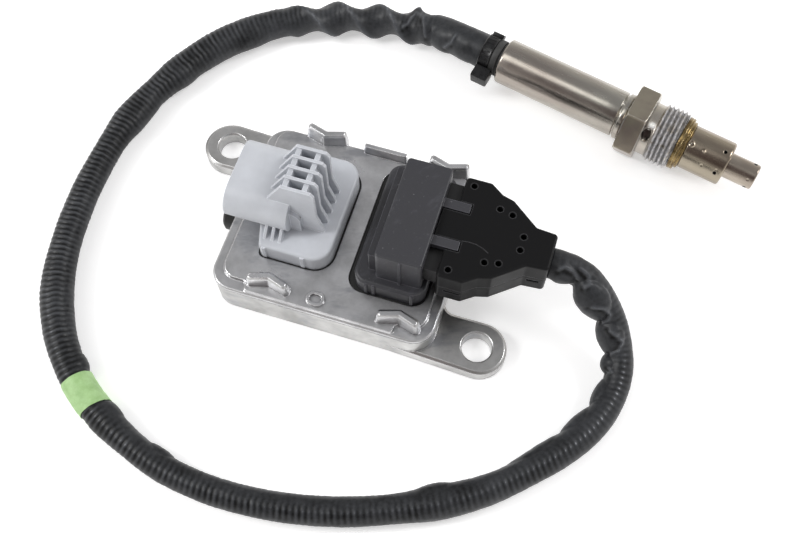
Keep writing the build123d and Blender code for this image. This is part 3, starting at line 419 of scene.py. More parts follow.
CARRIED = {
    "housing_base": aluminium_base,
    "housing_cover": aluminium_cover,
    "cover_seal": seal_rubber,
    "circuit_board": board,
    "vent_cap": vent_plastic,
    "harness_header": pale_plastic,
    "harness_header_seal": seal_rubber,
    "harness_terminals": terminal_metal,
    "sensor_header": charcoal_plastic,
    "sensor_header_seal": seal_rubber,
    "sensor_terminals": terminal_metal,
    "plug_connector_body": insert_plastic,
    "plug_sockets": terminal_metal,
    "plug_upper_shell": plug_plastic,
    "plug_lower_shell": plug_plastic,
    "probe_body": body_steel,
    "ceramic_element": ceramic_white,
    "rear_insulator": ceramic_white,
    "seal_packing": packing,
    "contact_carrier": ceramic_white,
}
for node_name, finish in CARRIED.items():
    materials = nodes[node_name].data.materials
    materials.clear()
    materials.append(finish)

# Probe frame: the same stations as the solids, measured from the sleeve's rear end
PROBE_REAR = Vector((30.35, 79.54, 11.0)) * MM
PROBE_DIR = Vector((cos(HEADING), sin(HEADING), 0.0))
PROBE_SIDE = Vector((-sin(HEADING), cos(HEADING), 0.0))
UP = Vector((0.0, 0.0, 1.0))
NUT_REAR = 46.9
HEX_FRONT = 53.7
THREAD_REAR = 56.9
THREAD_FRONT = 64.9
COLLAR_REAR = 65.2
COLLAR_FRONT = 68.4
TUBE_FRONT = 82.6
TIP_FRONT = 92.4


def outward_at(angle):
    """Unit vector away from the probe's axis at an angle."""
    return PROBE_SIDE * cos(angle) + UP * sin(angle)


def probe_point(station, radius, angle):
    """Point at a station along the probe, a radius and an angle, all sizes in mm."""
    return PROBE_REAR + PROBE_DIR * (station * MM) + outward_at(angle) * (radius * MM)


def apart(station, angle, place, turn, radius):
    """Distance in mm over the surface between two places given by station and angle."""
    across = signed(angle - turn) * radius
    return sqrt((station - place) ** 2 + across ** 2)


def lathe(name, profile, segments, shape=None):
    """Turned piece from (station, radius) pairs, with an optional change of radius over its surface."""
    verts = []
    for station, radius in profile:
        for k in range(segments):
            angle = tau * k / segments
            size = radius + (shape(station, radius, angle) if shape else 0.0)
            verts.append(probe_point(station, size, angle))
    return mesh_object(name, verts, ring_faces(len(profile), segments, closed=True), sharp=50)


def arc_profile(station, radius, size, start, end, steps=6):
    """Points of a rounding about a centre, from one angle to another in degrees."""
    points = []
    for k in range(steps + 1):
        turn = radians(start + (end - start) * k / steps)
        points.append((station + size * cos(turn), radius + size * sin(turn)))
    return points


# Conduit: the route's points as in the solids, lowered a little where the wrap is thin
ROUTE = [
    (0.0634, 0.00135, 0.02585),
    (0.0716, 0.00135, 0.02585),
    (0.0800, -0.0014, 0.0196),
    (0.0879, -0.0086, 0.0112),
    (0.0924, -0.0205, 0.0060),
    (0.0888, -0.0360, 0.0050),
    (0.0776, -0.0508, 0.0050),
    (0.0540, -0.0714, 0.0051),
    (0.0160, -0.0860, 0.0045),
    (-0.0220, -0.0884, 0.0045),
    (-0.0520, -0.0776, 0.0047),
    (-0.0715, -0.0626, 0.0050),
    (-0.0848, -0.0400, 0.0053),
    (-0.0898, -0.0060, 0.0050),
    (-0.0865, 0.0280, 0.0052),
    (-0.0694, 0.0618, 0.0056),
    (-0.0428, 0.0824, 0.0057),
    (-0.0140, 0.0889, 0.0062),
    (0.0040, 0.0878, 0.0080),
    (0.016916, 0.082703, 0.0110),
    (0.028598, 0.079953, 0.0110),
]
RIB_PITCH = 1.8
RIB_STEPS = 5
# Where the wrap is loose or tight: place along the conduit and radius, in mm
GIRTH = [
    (0, 4.8), (80, 4.9), (112, 5.0), (126, 4.3), (206, 4.1), (219, 4.75), (224, 4.55), (233, 4.55),
    (238, 4.75), (262, 5.15), (288, 4.6), (322, 4.4), (332, 5.1), (346, 4.6), (358, 5.3), (385, 5.5),
    (398, 5.1), (452, 5.3), (463, 5.8), (482, 5.9),
]
END_RADIUS = 4.6
FLOOR_GAP = 0.05
# How deep the ribs show through the wrap, in mm
RIB_DEPTH = [
    (0, 0.03), (35, 0.08), (60, 0.1), (110, 0.16), (225, 0.22), (300, 0.3), (370, 0.22), (396, 0.12),
    (450, 0.06), (464, 0.0),
]
# The angle in degrees about which the ribs show, and how far round, up to a place and past it
RIB_TURN = [(30, 118), (110, 128), (225, 118), (262, 95)]
RIB_WIDER = 225.0
RIB_REACH = 75.0
RIB_REACH_WIDE = 105.0
# How light the wrap is, how bright the painted highlight dots on its ribs are, and where round it they
# lie
BASE_TONE = [(85, 0.37), (120, 0.29), (360, 0.29), (400, 0.38)]
HIGHLIGHT_DOT_TONE = [(34, 0.0), (44, 1.0), (66, 0.9), (90, 0.45), (180, 0.3), (225, 0.5), (252, 0.5), (270, 0.0)]
HIGHLIGHT_DOT_TURN = radians(106)
HIGHLIGHT_DOT_REACH = radians(9.5)
# Where the inner side is drawn in: middle, half length, depth and how narrow that is round the conduit
DRAWN_IN = [(30.0, 75.0, 1.5, 1.2), (93.0, 22.0, 1.3, 1.5)]
# Loose folds on the inner side: middle, length, height and how far round they reach in degrees
FOLDS = [
    (3.5, 9.0, 1.4, 80.0),
    (17.2, 16.5, 3.9, 98.0),
    (31.5, 11.5, 1.9, 112.0),
    (40.8, 7.0, 1.7, 62.0),
    (51.5, 10.5, 1.4, 55.0),
    (64.0, 13.0, 1.3, 50.0),
    (81.0, 19.0, 0.7, 55.0),
    (113.5, 11.0, 0.6, 60.0),
    (198.0, 9.0, 0.75, 45.0),
    (218.6, 7.0, 0.5, 60.0),
    (238.6, 6.0, 0.7, 60.0),
    (336.0, 18.0, 0.5, 60.0),
    (357.0, 12.0, 0.5, 60.0),
    (386.0, 14.0, 0.5, 60.0),
    (451.5, 10.0, 1.3, 100.0),
    (460.5, 9.0, 0.7, 75.0),
    (470.0, 7.0, 0.3, 70.0),
]
# Share of a fold's reach on its underside, and its rim: height and width as shares, and where it lies
FOLD_UNDERSIDE = 0.8
RIM_HEIGHT = 0.06
RIM_WIDTH = 0.1
RIM_AT = 0.93
# Creases in the loose wrap: corners of each as a place along the conduit and an angle in degrees
CREASES = [
    [(2.4, 50), (3.8, 66), (6.4, 62), (8.6, 44)],
    [(7.6, 84), (10.2, 78), (11.4, 58), (11.0, 40)],
    [(17.4, 36), (20.1, 61), (23.6, 75), (25.4, 58), (25.7, 34)],
    [(28.6, 60), (31.2, 82), (33.6, 98), (36.4, 82), (37.3, 52)],
    [(42.6, 50), (44.0, 66), (44.2, 40)],
    [(444.4, 36), (445.9, 46), (447.4, 112), (451.3, 82), (454.6, 24)],
    [(463.6, 8), (465.8, 34), (466.2, 62)],
]
CREASE_MARGIN = 2.0
CREASE_RADIUS = 5.0
CREASE_WIDTH = 0.52
HOLLOW_OFFSET = 1.1
HOLLOW_WIDTH = 0.85
# Twisted stretch near the probe: where it runs and eases in and out, its section, and a last knuckle
TWIST_START = 398.0
TWIST_END = 455.0
TWIST_EASE_IN = 12.0
TWIST_EASE_OUT = 7.0
TWIST_FLAT = 414.9
TWIST_HALF_TURN = 14.9
TWIST_HALF_WIDTH = 6.2
TWIST_HALF_HEIGHT = 3.8
TWIST_SHIFT = 1.25
OVAL_SHARE = 0.35
CREST_POWER = 40
KNUCKLE_PLACE = 447.0
KNUCKLE_HALF = 3.0
KNUCKLE_TURN = radians(140)
KNUCKLE_REACH = radians(42)
KNUCKLE_HEIGHT = 1.3


def route_curve():
    data = bpy.data.curves.new("conduit_route", "CURVE")
    data.dimensions = "3D"
    spline = data.splines.new("NURBS")
    spline.points.add(len(ROUTE) - 1)
    for point, place in zip(spline.points, ROUTE):
        point.co = (*place, 1.0)
    spline.order_u = 3
    spline.use_endpoint_u = True
    spline.resolution_u = 24
    return data


def route_line():
    """Points read from the route's spline."""
    curve = link(bpy.data.objects.new("conduit_route", route_curve()))
    bpy.context.view_layer.update()
    evaluated = curve.evaluated_get(bpy.context.evaluated_depsgraph_get())
    mesh = bpy.data.meshes.new_from_object(evaluated)
    points = [v.co.copy() for v in mesh.vertices]
    bpy.data.objects.remove(curve)
    bpy.data.meshes.remove(mesh)
    return points


class Path:
    """Places along a line of points, with a frame that doesn't twist."""

    def __init__(self, points):
        self.points = points
        self.lengths = [0.0]
        for a, b in zip(points, points[1:]):
            self.lengths.append(self.lengths[-1] + (b - a).length)
        self.total = self.lengths[-1]

    def at(self, distance):
        distance = clamp(distance, 0.0, self.total)
        low = min(bisect_right(self.lengths, distance) - 1, len(self.lengths) - 2)
        run = self.lengths[low + 1] - self.lengths[low]
        ratio = (distance - self.lengths[low]) / run if run else 0.0
        return self.points[low].lerp(self.points[low + 1], ratio)

    def frame(self, distance):
        """Place, sideways and upward vectors; sideways points to the inner side of the loop."""
        ahead = self.at(distance + 0.6 * MM) - self.at(distance - 0.6 * MM)
        along = ahead.normalized()
        side = along.cross(UP).normalized()
        return self.at(distance), side, side.cross(along).normalized()


path = Path(route_line())


def fold_height(place, angle):
    """Puckers of loose wrap on the inner side: their height with the rim, and the rim's alone."""
    inward = signed(angle)
    height = 0.0
    rim = 0.0
    for middle, length, size, reach in FOLDS:
        along = (place - middle) / (length / 2)
        if abs(along) > 1.25:
            continue
        limit = radians(reach) if inward > 0 else radians(FOLD_UNDERSIDE * reach)
        rho = sqrt(along ** 2 + (inward / limit) ** 2)
        if rho < 1.0:
            height = max(height, size * (1.0 - rho ** 2) ** 0.8)
        if size > 1.0 and inward > 0:
            rim = max(rim, RIM_HEIGHT * size * exp(-((rho - RIM_AT) / RIM_WIDTH) ** 2))
    return height + rim, rim


def twisted_size(place, angle):
    """Radius of the flattened section whose two edges wind round the conduit, and 1 on an edge."""
    wide = TWIST_HALF_WIDTH
    thin = TWIST_HALF_HEIGHT
    away = angle + pi * (place - TWIST_FLAT) / TWIST_HALF_TURN
    across = abs(cos(away))
    off = abs(sin(away))
    oval = wide * thin / sqrt((thin * across) ** 2 + (wide * off) ** 2)
    arc = (wide ** 2 + thin ** 2) / (2 * thin)
    lens = sqrt(arc ** 2 - ((arc - thin) * across) ** 2) - (arc - thin) * off
    size = OVAL_SHARE * oval + (1.0 - OVAL_SHARE) * lens + TWIST_SHIFT * cos(angle)
    return size, across ** CREST_POWER


def crease_at(place, angle):
    """Ridge of a crease from 0 to 1, and the shade of the hollow on its inner side."""
    ridge = 0.0
    hollow = 0.0
    for corners in CREASES:
        if not corners[0][0] - CREASE_MARGIN < place < corners[-1][0] + CREASE_MARGIN:
            continue
        for (place_1, turn_1), (place_2, turn_2) in zip(corners, corners[1:]):
            run = Vector((place_2 - place_1, radians(turn_2 - turn_1) * CREASE_RADIUS))
            here = Vector((place - place_1, signed(angle - radians(turn_1)) * CREASE_RADIUS))
            ratio = clamp(here.dot(run) / run.dot(run), 0.0, 1.0)
            gap = (here - run * ratio).length
            ridge = max(ridge, exp(-(gap / CREASE_WIDTH) ** 2))
            sunk = (here + Vector((0.0, HOLLOW_OFFSET)) - run * ratio).length
            hollow = max(hollow, exp(-(sunk / HOLLOW_WIDTH) ** 2))
    return ridge, hollow * (1.0 - ridge)


def rib_weight(place, angle):
    """How clearly the ribs show: on the upper and outer side at first, further round later on."""
    reach = RIB_REACH_WIDE if place > RIB_WIDER else RIB_REACH
    return bump_at(angle, radians(between(RIB_TURN, place)), radians(reach))


def conduit_shape(place, angle):
    """Radius in mm of the wrapped conduit, and how light its surface is, with painted highlights and
    painted shade in it: 0 dark, 1 and more bright.
    """
    inner = max(0.0, cos(angle))
    size = between(GIRTH, place)
    for middle, half_length, drawn, narrow in DRAWN_IN:
        size -= drawn * bump_at(place, middle, half_length) * inner ** narrow
    folds, rim = fold_height(place, angle)
    size += folds
    crest = 0.0
    begun = clamp((place - TWIST_START) / TWIST_EASE_IN, 0.0, 1.0)
    twisted = begun * clamp((TWIST_END - place) / TWIST_EASE_OUT, 0.0, 1.0)
    if twisted > 0.0:
        flat_size, crest = twisted_size(place, angle)
        size += twisted * (flat_size - size)
        knuckle = KNUCKLE_HEIGHT * bump_at(place, KNUCKLE_PLACE, KNUCKLE_HALF)
        size += knuckle * bump_at(angle, KNUCKLE_TURN, KNUCKLE_REACH)
    ridge, hollow = crease_at(place, angle)
    size += 0.4 * ridge - 0.3 * hollow
    drift = surface_noise(place, angle, 0.09, 0.9)
    wrinkle = surface_noise(place, angle, 0.4, 2.2, 5.0)
    lean = 0.16 * surface_noise(place, angle, 0.05, 1.3, 9.0)
    rib = (0.5 + 0.5 * cos(tau * (place / RIB_PITCH + lean))) ** 1.3
    uneven = 1.0 + 0.9 * noise.noise(Vector((place * 0.31, 4.0 + cos(angle) * 0.5, 0.0)))
    depth = between(RIB_DEPTH, place) * clamp(uneven, 0.35, 1.6)
    seen = rib_weight(place, angle)
    size += depth * (0.25 + 0.75 * seen) * (rib - 0.5) + 0.16 * drift + 0.09 * wrinkle
    # Painted light: rib crests lighter, partly rubbed and partly a painted highlight; grooves darker as
    # painted shade; fold rims and twist crests lighter as a painted highlight.
    tone = (between(BASE_TONE, place) + 2.2 * depth * seen * (rib - 0.4) + 0.2 * rim
            + 0.5 * twisted * crest + 0.12 * drift)
    # Painted highlight: bright dots on the rib crests.
    highlight_dots = (rib ** 3 * bump_at(angle, HIGHLIGHT_DOT_TURN, HIGHLIGHT_DOT_REACH) * between(HIGHLIGHT_DOT_TONE, place)
            * clamp(uneven, 0.4, 1.2))
    # Crease ridges lighter as a painted highlight, hollows darker as painted shade.
    tone += 0.5 * ridge - 0.35 * hollow + highlight_dots
    started = clamp(place / 3.0, 0.0, 1.0)
    return END_RADIUS + (size - END_RADIUS) * started, clamp(tone, 0.0, 1.6)


def build_conduit():
    """The wrapped conduit, closed at both ends, and the line that it follows."""
    segments = 64
    rows = int(path.total / (RIB_PITCH * MM / RIB_STEPS))
    verts = []
    tones = []
    line = []
    for row in range(rows + 1):
        distance = path.total * row / rows
        place, side, up = path.frame(distance)
        line.append(place)
        for k in range(segments):
            angle = tau * k / segments
            size, tone = conduit_shape(distance / MM, angle)
            point = place + (side * cos(angle) + up * sin(angle)) * (size * MM)
            point.z = max(point.z, FLOOR_GAP * MM)
            verts.append(point)
            tones.append(tone)
    faces = ring_faces(rows + 1, segments)
    faces.append(tuple(range(segments)))
    faces.append(tuple(rows * segments + k for k in range(segments)))
    piece = mesh_object("conduit_wrap", verts, faces)
    tone_layer = piece.data.attributes.new("wrap_tone_and_painted_light", "FLOAT", "POINT")
    tone_layer.data.foreach_set("value", tones)
    return piece, line


def wrap_material():
    """Thin dark wrap over a corrugated tube: lighter ridges, partly rubbed and partly a painted
    highlight, grooves darkened by painted shade, scuffs and flecks.
    """
    shader = Shader("conduit_wrap", (0.02, 0.022, 0.025), 0.42, Specular_IOR_Level=0.26)
    tone = shader.node("ShaderNodeAttribute", attribute_name="wrap_tone_and_painted_light").outputs["Fac"]
    cloud = shader.noise(110, 4)
    scuff = shader.noise(650, 5, 0.75)
    mixed = shader.maths("ADD", tone, shader.level(cloud, 0.3, 0.7, -0.08, 0.1))
    mixed = shader.maths("ADD", mixed, shader.level(scuff, 0.3, 0.75, -0.1, 0.14))
    body = shader.ramp(mixed, 0.12, 0.95, (0.002, 0.0022, 0.0026), (0.078, 0.082, 0.09))
    # Pale grey where the tone is highest, which is mostly painted highlight.
    body = shader.mix(shader.level(mixed, 0.85, 1.35, 0.0, 1.0), body, (0.27, 0.28, 0.3))
    flecks = shader.mask(shader.noise(1300, 4, 0.8), 0.7, 0.76, 0.4)
    shader.to("Base Color", shader.mix(flecks, body, (0.09, 0.094, 0.1)))
    shader.to("Roughness", shader.level(scuff, 0.3, 0.7, 0.32, 0.5))
    fine = shader.bump(shader.noise(2400, 3), 0.02 * MM, 0.8)
    shader.to("Normal", shader.bump(scuff, 0.06 * MM, 0.6, fine))
    return shader.material


conduit, centre_line = build_conduit()
finish_piece(conduit, wrap_material(), "sensor_conduit")


# Green marking tape: a band around the conduit with a lapped end
TAPE_PLACE = 228.6
TAPE_WIDTH = 11.4
TAPE_RADIUS = 4.95
TAPE_THICKNESS = 0.18
TAPE_LAP = 0.14


def build_tape():
    """Two shells round the conduit, joined along both edges."""
    segments = 72
    rows = 22
    verts = []
    for shell in (0, 1):
        for row in range(rows + 1):
            for k in range(segments):
                angle = tau * k / segments
                slant = 0.5 * cos(angle)
                width = TAPE_WIDTH * (1.0 + 0.06 * cos(angle))
                place = TAPE_PLACE - slant + width * (row / rows - 0.5)
                middle, side, up = path.frame(place * MM)
                ripple = 0.12 * surface_noise(row, angle, 0.3, 2.0)
                lap = TAPE_LAP if 0.1 < k / segments < 0.3 else 0.0
                size = TAPE_RADIUS + ripple + lap - TAPE_THICKNESS * shell
                point = middle + (side * cos(angle) + up * sin(angle)) * (size * MM)
                point.z = max(point.z, 0.01 * MM + 0.02 * MM * shell)
                verts.append(point)
    per_shell = (rows + 1) * segments
    faces = ring_faces(rows + 1, segments)
    faces += [tuple(per_shell + v for v in face) for face in ring_faces(rows + 1, segments)]
    for row in (0, rows):
        for k in range(segments):
            beside = (k + 1) % segments
            faces.append((row * segments + k, row * segments + beside,
                          per_shell + row * segments + beside, per_shell + row * segments + k))
    return mesh_object("green_tape_band", verts, faces, sharp=50)


def tape_material():
    """Matt green cloth tape with darker blotches and a fine crumple."""
    shader = Shader("tape_green", (0.33, 0.6, 0.19), 0.55)
    cloud = shader.noise(330, 5, 0.7)
    shader.to("Base Color", shader.ramp(cloud, 0.3, 0.7, (0.28, 0.47, 0.18), (0.42, 0.63, 0.3)))
    crumple = shader.bump(shader.noise(420, 3), 0.08 * MM, 0.6)
    shader.to("Normal", shader.bump(shader.noise(1600, 3), 0.03 * MM, 0.7, crumple))
    return shader.material


tape = finish_piece(build_tape(), tape_material(), "green_tape")


# Cable tie: strap, ratchet head and cut tail as one piece
def add_block(work, centre, axes, size, bevel):
    """Box with rounded edges, added to a bmesh: its unit vectors, its sizes and rounding in mm."""
    verts = bmesh.ops.create_cube(work, size=1.0)["verts"]
    matrix = Matrix([axis * (side * MM) for axis, side in zip(axes, size)]).transposed().to_4x4()
    matrix.translation = centre
    bmesh.ops.transform(work, matrix=matrix, verts=verts)
    edges = list(dict.fromkeys(edge for vert in verts for edge in vert.link_edges))
    bmesh.ops.bevel(work, geom=edges, offset=bevel * MM, segments=3, profile=0.6, affect="EDGES")


STRAP_MIDDLE = -5.5
STRAP_HALF = 2.05
STRAP_RADIUS = 6.55
HEAD_TURN = radians(187)
HEAD_RIB_TURN = radians(202.5)
TAIL_TURN = radians(38)


def lying_axes(angle):
    """Axes of a block that lies on the strap: along the probe, round it and outward."""
    outward = outward_at(angle)
    return PROBE_DIR, PROBE_DIR.cross(outward), outward


def build_tie():
    """Strap with raised edges, then the head with its ribs, the cut tail and the strap's teeth."""
    work = bmesh.new()
    segments = 72
    rings = []
    half_profile = [(STRAP_HALF, 5.8), (STRAP_HALF, 6.4), (STRAP_HALF - 0.3, 6.65),
                    (STRAP_HALF - 0.6, STRAP_RADIUS)]
    profile = [(-offset, radius) for offset, radius in half_profile] + half_profile[::-1]
    for offset, radius in profile:
        rings.append([work.verts.new(probe_point(STRAP_MIDDLE + offset, radius, tau * k / segments))
                      for k in range(segments)])
    add_rings(work, rings, closed=True)
    along, around, outward = lying_axes(HEAD_TURN)
    axes = (along, outward, around)
    add_block(work, probe_point(-4.3, 8.9, HEAD_TURN), axes, (6.0, 4.9, 4.6), 0.7)
    for k in range(3):
        add_block(work, probe_point(-6.3 + 2.0 * k, 8.0, HEAD_RIB_TURN), axes, (1.1, 2.2, 0.5), 0.15)
    add_block(work, probe_point(-5.1, 6.95, TAIL_TURN), lying_axes(TAIL_TURN), (4.1, 3.0, 1.3), 0.25)
    for k in range(7):
        angle = radians(66 + 14 * k)
        tooth = probe_point(STRAP_MIDDLE, STRAP_RADIUS, angle)
        add_block(work, tooth, lying_axes(angle), (2.4, 0.6, 0.3), 0.08)
    return work_object("tie", work, 35)


def tie_material():
    """Dark nylon with a soft sheen."""
    shader = Shader("tie_nylon", (0.007, 0.007, 0.0075), 0.3, Specular_IOR_Level=0.35)
    cloud = shader.noise(700, 3)
    shader.to("Base Color", shader.ramp(cloud, 0.3, 0.7, (0.005, 0.005, 0.0055), (0.011, 0.011, 0.012)))
    shader.to("Roughness", shader.level(cloud, 0.3, 0.7, 0.22, 0.4))
    shader.to("Normal", shader.bump(shader.noise(1500, 2), 0.03 * MM))
    return shader.material


tie = finish_piece(build_tie(), tie_material(), "cable_tie")


# Rubber bush between the tie and the sleeve
def build_bush():
    profile = [(-3.5, 5.6)]
    profile += arc_profile(-3.1, 5.95, 0.3, 180, 90, 4)
    profile += arc_profile(-1.3, 5.95, 0.3, 90, 0, 4)
    profile += [(-1.0, 5.7), (7.9, 5.7), (7.9, 5.2), (-3.5, 5.2)]
    return lathe("bush", profile, 72)


bush_rubber = rubber("bush_rubber", (0.034, 0.034, 0.033))
finish_piece(build_bush(), bush_rubber, "rear_grommet")


# Sleeve: rolled rear edge, long barrel, groove and bright bead
def build_sleeve():
    profile = arc_profile(0.75, 7.05, 0.75, 180, 90)
    profile += [(4 + 5 * k, 7.8) for k in range(8)]
    profile += arc_profile(43.6, 7.4, 0.4, 90, 0, 4)
    profile += [(44.05, 7.15), (44.5, 7.15)]
    profile += arc_profile(45.1, 7.35, 0.6, 180, 90, 5)
    profile += arc_profile(46.0, 7.35, 0.6, 90, 0, 5)
    profile += [(46.6, 6.7), (44.2, 6.7), (44.2, 7.05), (0, 6.75)]
    return lathe("sleeve", profile, 96)


finish_piece(build_sleeve(), sleeve_steel, "probe_sleeve")

# Union nut: hexagon with turned corners, relieved neck with a radial hole, and the thread
HEX_FLATS = 22.0
HEX_CORNER = 12.64
CHAMFER_SLOPE = 1.5
NECK_RADIUS = 8.9
HOLE_STATION = 55.2
HOLE_TURN = radians(141)
HOLE_HALF_LENGTH = 1.25
HOLE_HALF_WIDTH = 2.35
HOLE_DEPTH = 1.1
THREAD_RADIUS = 10.0
THREAD_ROOT = 8.9
THREAD_PITCH = 1.5
THREAD_DEPTH = 0.92
NUT_BORE = 6.68


def hex_radius(angle):
    """Radius of a hexagon with a flat on top."""
    sector = abs(angle % radians(60) - radians(30))
    return HEX_FLATS / 2 / cos(sector)


def hole_depth(station, angle):
    """Depth in mm of the oval hole in the neck at a station and angle."""
    across = signed(angle - HOLE_TURN) * NECK_RADIUS / HOLE_HALF_WIDTH
    ratio = sqrt(((station - HOLE_STATION) / HOLE_HALF_LENGTH) ** 2 + across ** 2)
    return HOLE_DEPTH * clamp((1.1 - ratio) / 0.25, 0.0, 1.0)


def nut_outline(station, angle):
    """Radius of the nut's outside in mm at a station and angle."""
    if station <= HEX_FRONT:
        flat = hex_radius(angle)
        chamfer_rear = 12.0 + (station - NUT_REAR) * CHAMFER_SLOPE
        chamfer_front = 12.1 + (HEX_FRONT - station) * CHAMFER_SLOPE
        return min(flat, chamfer_rear, chamfer_front, HEX_CORNER)
    if station <= THREAD_REAR:
        return NECK_RADIUS - hole_depth(station, angle)
    phase = ((station - THREAD_REAR + 0.35) / THREAD_PITCH - angle / tau) % 1.0
    crest = abs(phase - 0.5) * 2
    depth = THREAD_DEPTH * clamp((crest - 0.14) / 0.72, 0.0, 1.0)
    nicks = 0.12 * surface_noise(station, angle, 1.1, 9.0)
    worn = THREAD_RADIUS - depth + min(nicks, 0.0)
    lead_in = clamp((THREAD_FRONT - station) * 1.1 - 0.05, -0.9, 0.0)
    run_out = clamp((station - THREAD_REAR) * 1.4 - 0.9, -0.9, 0.0)
    return max(THREAD_ROOT, min(worn, THREAD_RADIUS + lead_in, THREAD_RADIUS + run_out))


def build_nut():
    """Rings along the outside, dense at the chamfers and the thread, closed by the bore."""
    segments = 180
    edge_steps = [0.0, 0.15, 0.4, 0.7, 1.0, 1.4]
    stations = [NUT_REAR + step for step in edge_steps] + [NUT_REAR + 3.4]
    stations += [HEX_FRONT - step for step in reversed(edge_steps)]
    stations += [HEX_FRONT + 0.01 + (THREAD_REAR - HEX_FRONT - 0.01) * k / 14 for k in range(15)]
    steps = int((THREAD_FRONT - THREAD_REAR) / 0.14)
    stations += [THREAD_REAR + (THREAD_FRONT - THREAD_REAR) * k / steps for k in range(1, steps + 1)]
    verts = []
    for station in stations:
        verts += [probe_point(station, nut_outline(station, tau * k / segments), tau * k / segments)
                  for k in range(segments)]
    for station in (THREAD_FRONT, NUT_REAR):
        verts += [probe_point(station, NUT_BORE, tau * k / segments) for k in range(segments)]
    faces = ring_faces(len(stations) + 2, segments, closed=True)
    return mesh_object("nut_with_thread", verts, faces, sharp=24)


def nut_material():
    """Turned steel with a heat tint: painted shade in the neck's hole, a painted highlight spot above
    it, painted shade in grooves and corners, and paste on the thread.
    """
    shader = Shader("nut_steel", (0.4, 0.36, 0.31), 0.3, metallic=1.0)
    soft, mask = shader.edges(0.22 * MM)
    patches = shader.noise(75, 4, 0.6)
    body = shader.ramp(patches, 0.4, 0.62, (0.4, 0.36, 0.285), (0.29, 0.235, 0.21))
    body = shader.mix(mask, body, WORN_STEEL)
    start = PROBE_REAR.dot(PROBE_DIR)
    along = shader.measure("DOT_PRODUCT", shader.place, PROBE_DIR)
    neck = shader.level(along, start + 53.6 * MM, start + 53.8 * MM, 0.0, 0.7)
    body = shader.mix(neck, body, (0.5, 0.47, 0.42))
    # Painted shade in the neck's hole, and a painted highlight spot above it.
    for station, turn, full, edge, tone in (
            (HOLE_STATION, HOLE_TURN, 1.35, 1.95, (0.03, 0.016, 0.015)),
            (HOLE_STATION + 0.5, radians(119), 1.1, 1.8, (0.9, 0.9, 0.88))):
        centre = probe_point(station, NECK_RADIUS - 1.0, turn)
        body = shader.mix(shader.spot(centre, full, edge, 0.9), body, tone)
    inside = shader.level(along, start + 57.0 * MM, start + 57.7 * MM, 0.0, 1.0)
    smear = shader.mask(shader.noise(520, 5, 0.75), 0.38, 0.52, 1.0)
    paste = shader.maths("MULTIPLY", inside, smear)
    mottle = shader.ramp(shader.noise(950, 4, 0.65), 0.36, 0.66, (0.24, 0.24, 0.25), (0.66, 0.65, 0.66))
    body = shader.mix(paste, body, mottle)
    # Painted shade darkens the colour in grooves and corners.
    shader.to("Base Color", shader.painted_crevice_shade(body, 0.8 * MM, 0.4, 0.85, (0.1, 0.095, 0.09)))
    shader.to("Metallic", shader.level(paste, 0, 1, 1.0, 0.35))
    shader.to("Roughness", shader.level(paste, 0, 1, 0.27, 0.5))
    shader.to("Normal", shader.bump(shader.noise(1500, 4, 0.7), 0.05 * MM, 0.5, soft))
    return shader.material


finish_piece(build_nut(), nut_material(), "union_nut", body="nut")


# Gold-toned collar in front of the thread, with turned grooves
def build_collar():
    profile = [(COLLAR_REAR, 6.6), (COLLAR_REAR, 8.5)] + arc_profile(65.6, 8.65, 0.4, 170, 90, 4)
    profile += [(66.3, 9.05), (66.45, 8.8), (66.6, 9.0)]
    profile += arc_profile(66.9, 8.6, 0.4, 90, 10, 4)
    profile += [(67.4, 8.2), (67.5, 7.95), (67.7, 8.1)] + arc_profile(68.0, 7.8, 0.3, 90, 0, 3)
    profile += [(COLLAR_FRONT, 7.5), (COLLAR_FRONT, 6.6)]
    return lathe("collar", profile, 96)


def gold_material():
    """Straw and brown heat colours on steel, with a painted highlight along the edges."""
    shader = Shader("gold_tint", (0.4, 0.27, 0.09), 0.24, metallic=1.0)
    soft, mask = shader.edges(0.2 * MM)
    cloud = shader.noise(260, 4, 0.65)
    body = shader.ramp(cloud, 0.36, 0.66, (0.1, 0.065, 0.03), (0.33, 0.24, 0.105))
    # Lighter edges are a painted highlight.
    shader.to("Base Color", shader.mix(mask, body, (0.6, 0.48, 0.27)))
    shader.to("Roughness", shader.level(cloud, 0.3, 0.7, 0.34, 0.2))
    shader.to("Normal", shader.bump(shader.noise(1200, 3), 0.04 * MM, 0.6, soft))
    return shader.material


finish_piece(build_collar(), gold_material(), "seat_collar")

# Protection tubes with their dimples (station, angle, size, depth) and holes (station, angle), in mm
TUBE_RADIUS = 7.4
TIP_RADIUS = 4.25
OUTER_DIMPLES = [(75.3, 155, 0.5, 0.28), (80.2, 150, 0.5, 0.28)]
OUTER_DIMPLES += [(69.5, 116 + 120 * k, 0.95, 0.55) for k in range(3)]
OUTER_DIMPLES += [(73.9, 119 + 120 * k, 0.6, 0.3) for k in range(3)]
OUTER_HOLES = [(80.1, 99 + 60 * k) for k in range(6)]
TIP_HOLES = [(90.5, turn) for turn in (60, 200, 265, 330)]
TIP_DIMPLES = [(90.3, 148, 0.5, 0.2)]


def dimple_depth(dimples, station, radius, angle):
    """Depth in mm of soft round dimples at a place on a tube."""
    total = 0.0
    for place, turn, size, depth in dimples:
        gap = apart(station, angle, place, radians(turn), radius)
        total += depth * bump_at(gap, 0.0, size * 1.15)
    return total


def hole_pits(holes, station, angle, size, depth, radius):
    """Depth in mm of a row of small round holes sunk into a tube of a radius."""
    total = 0.0
    for place, turn in holes:
        gap = apart(station, angle, place, radians(turn), radius)
        total += depth * clamp((size - gap) / 0.16, 0.0, 1.0)
    return min(total, depth)


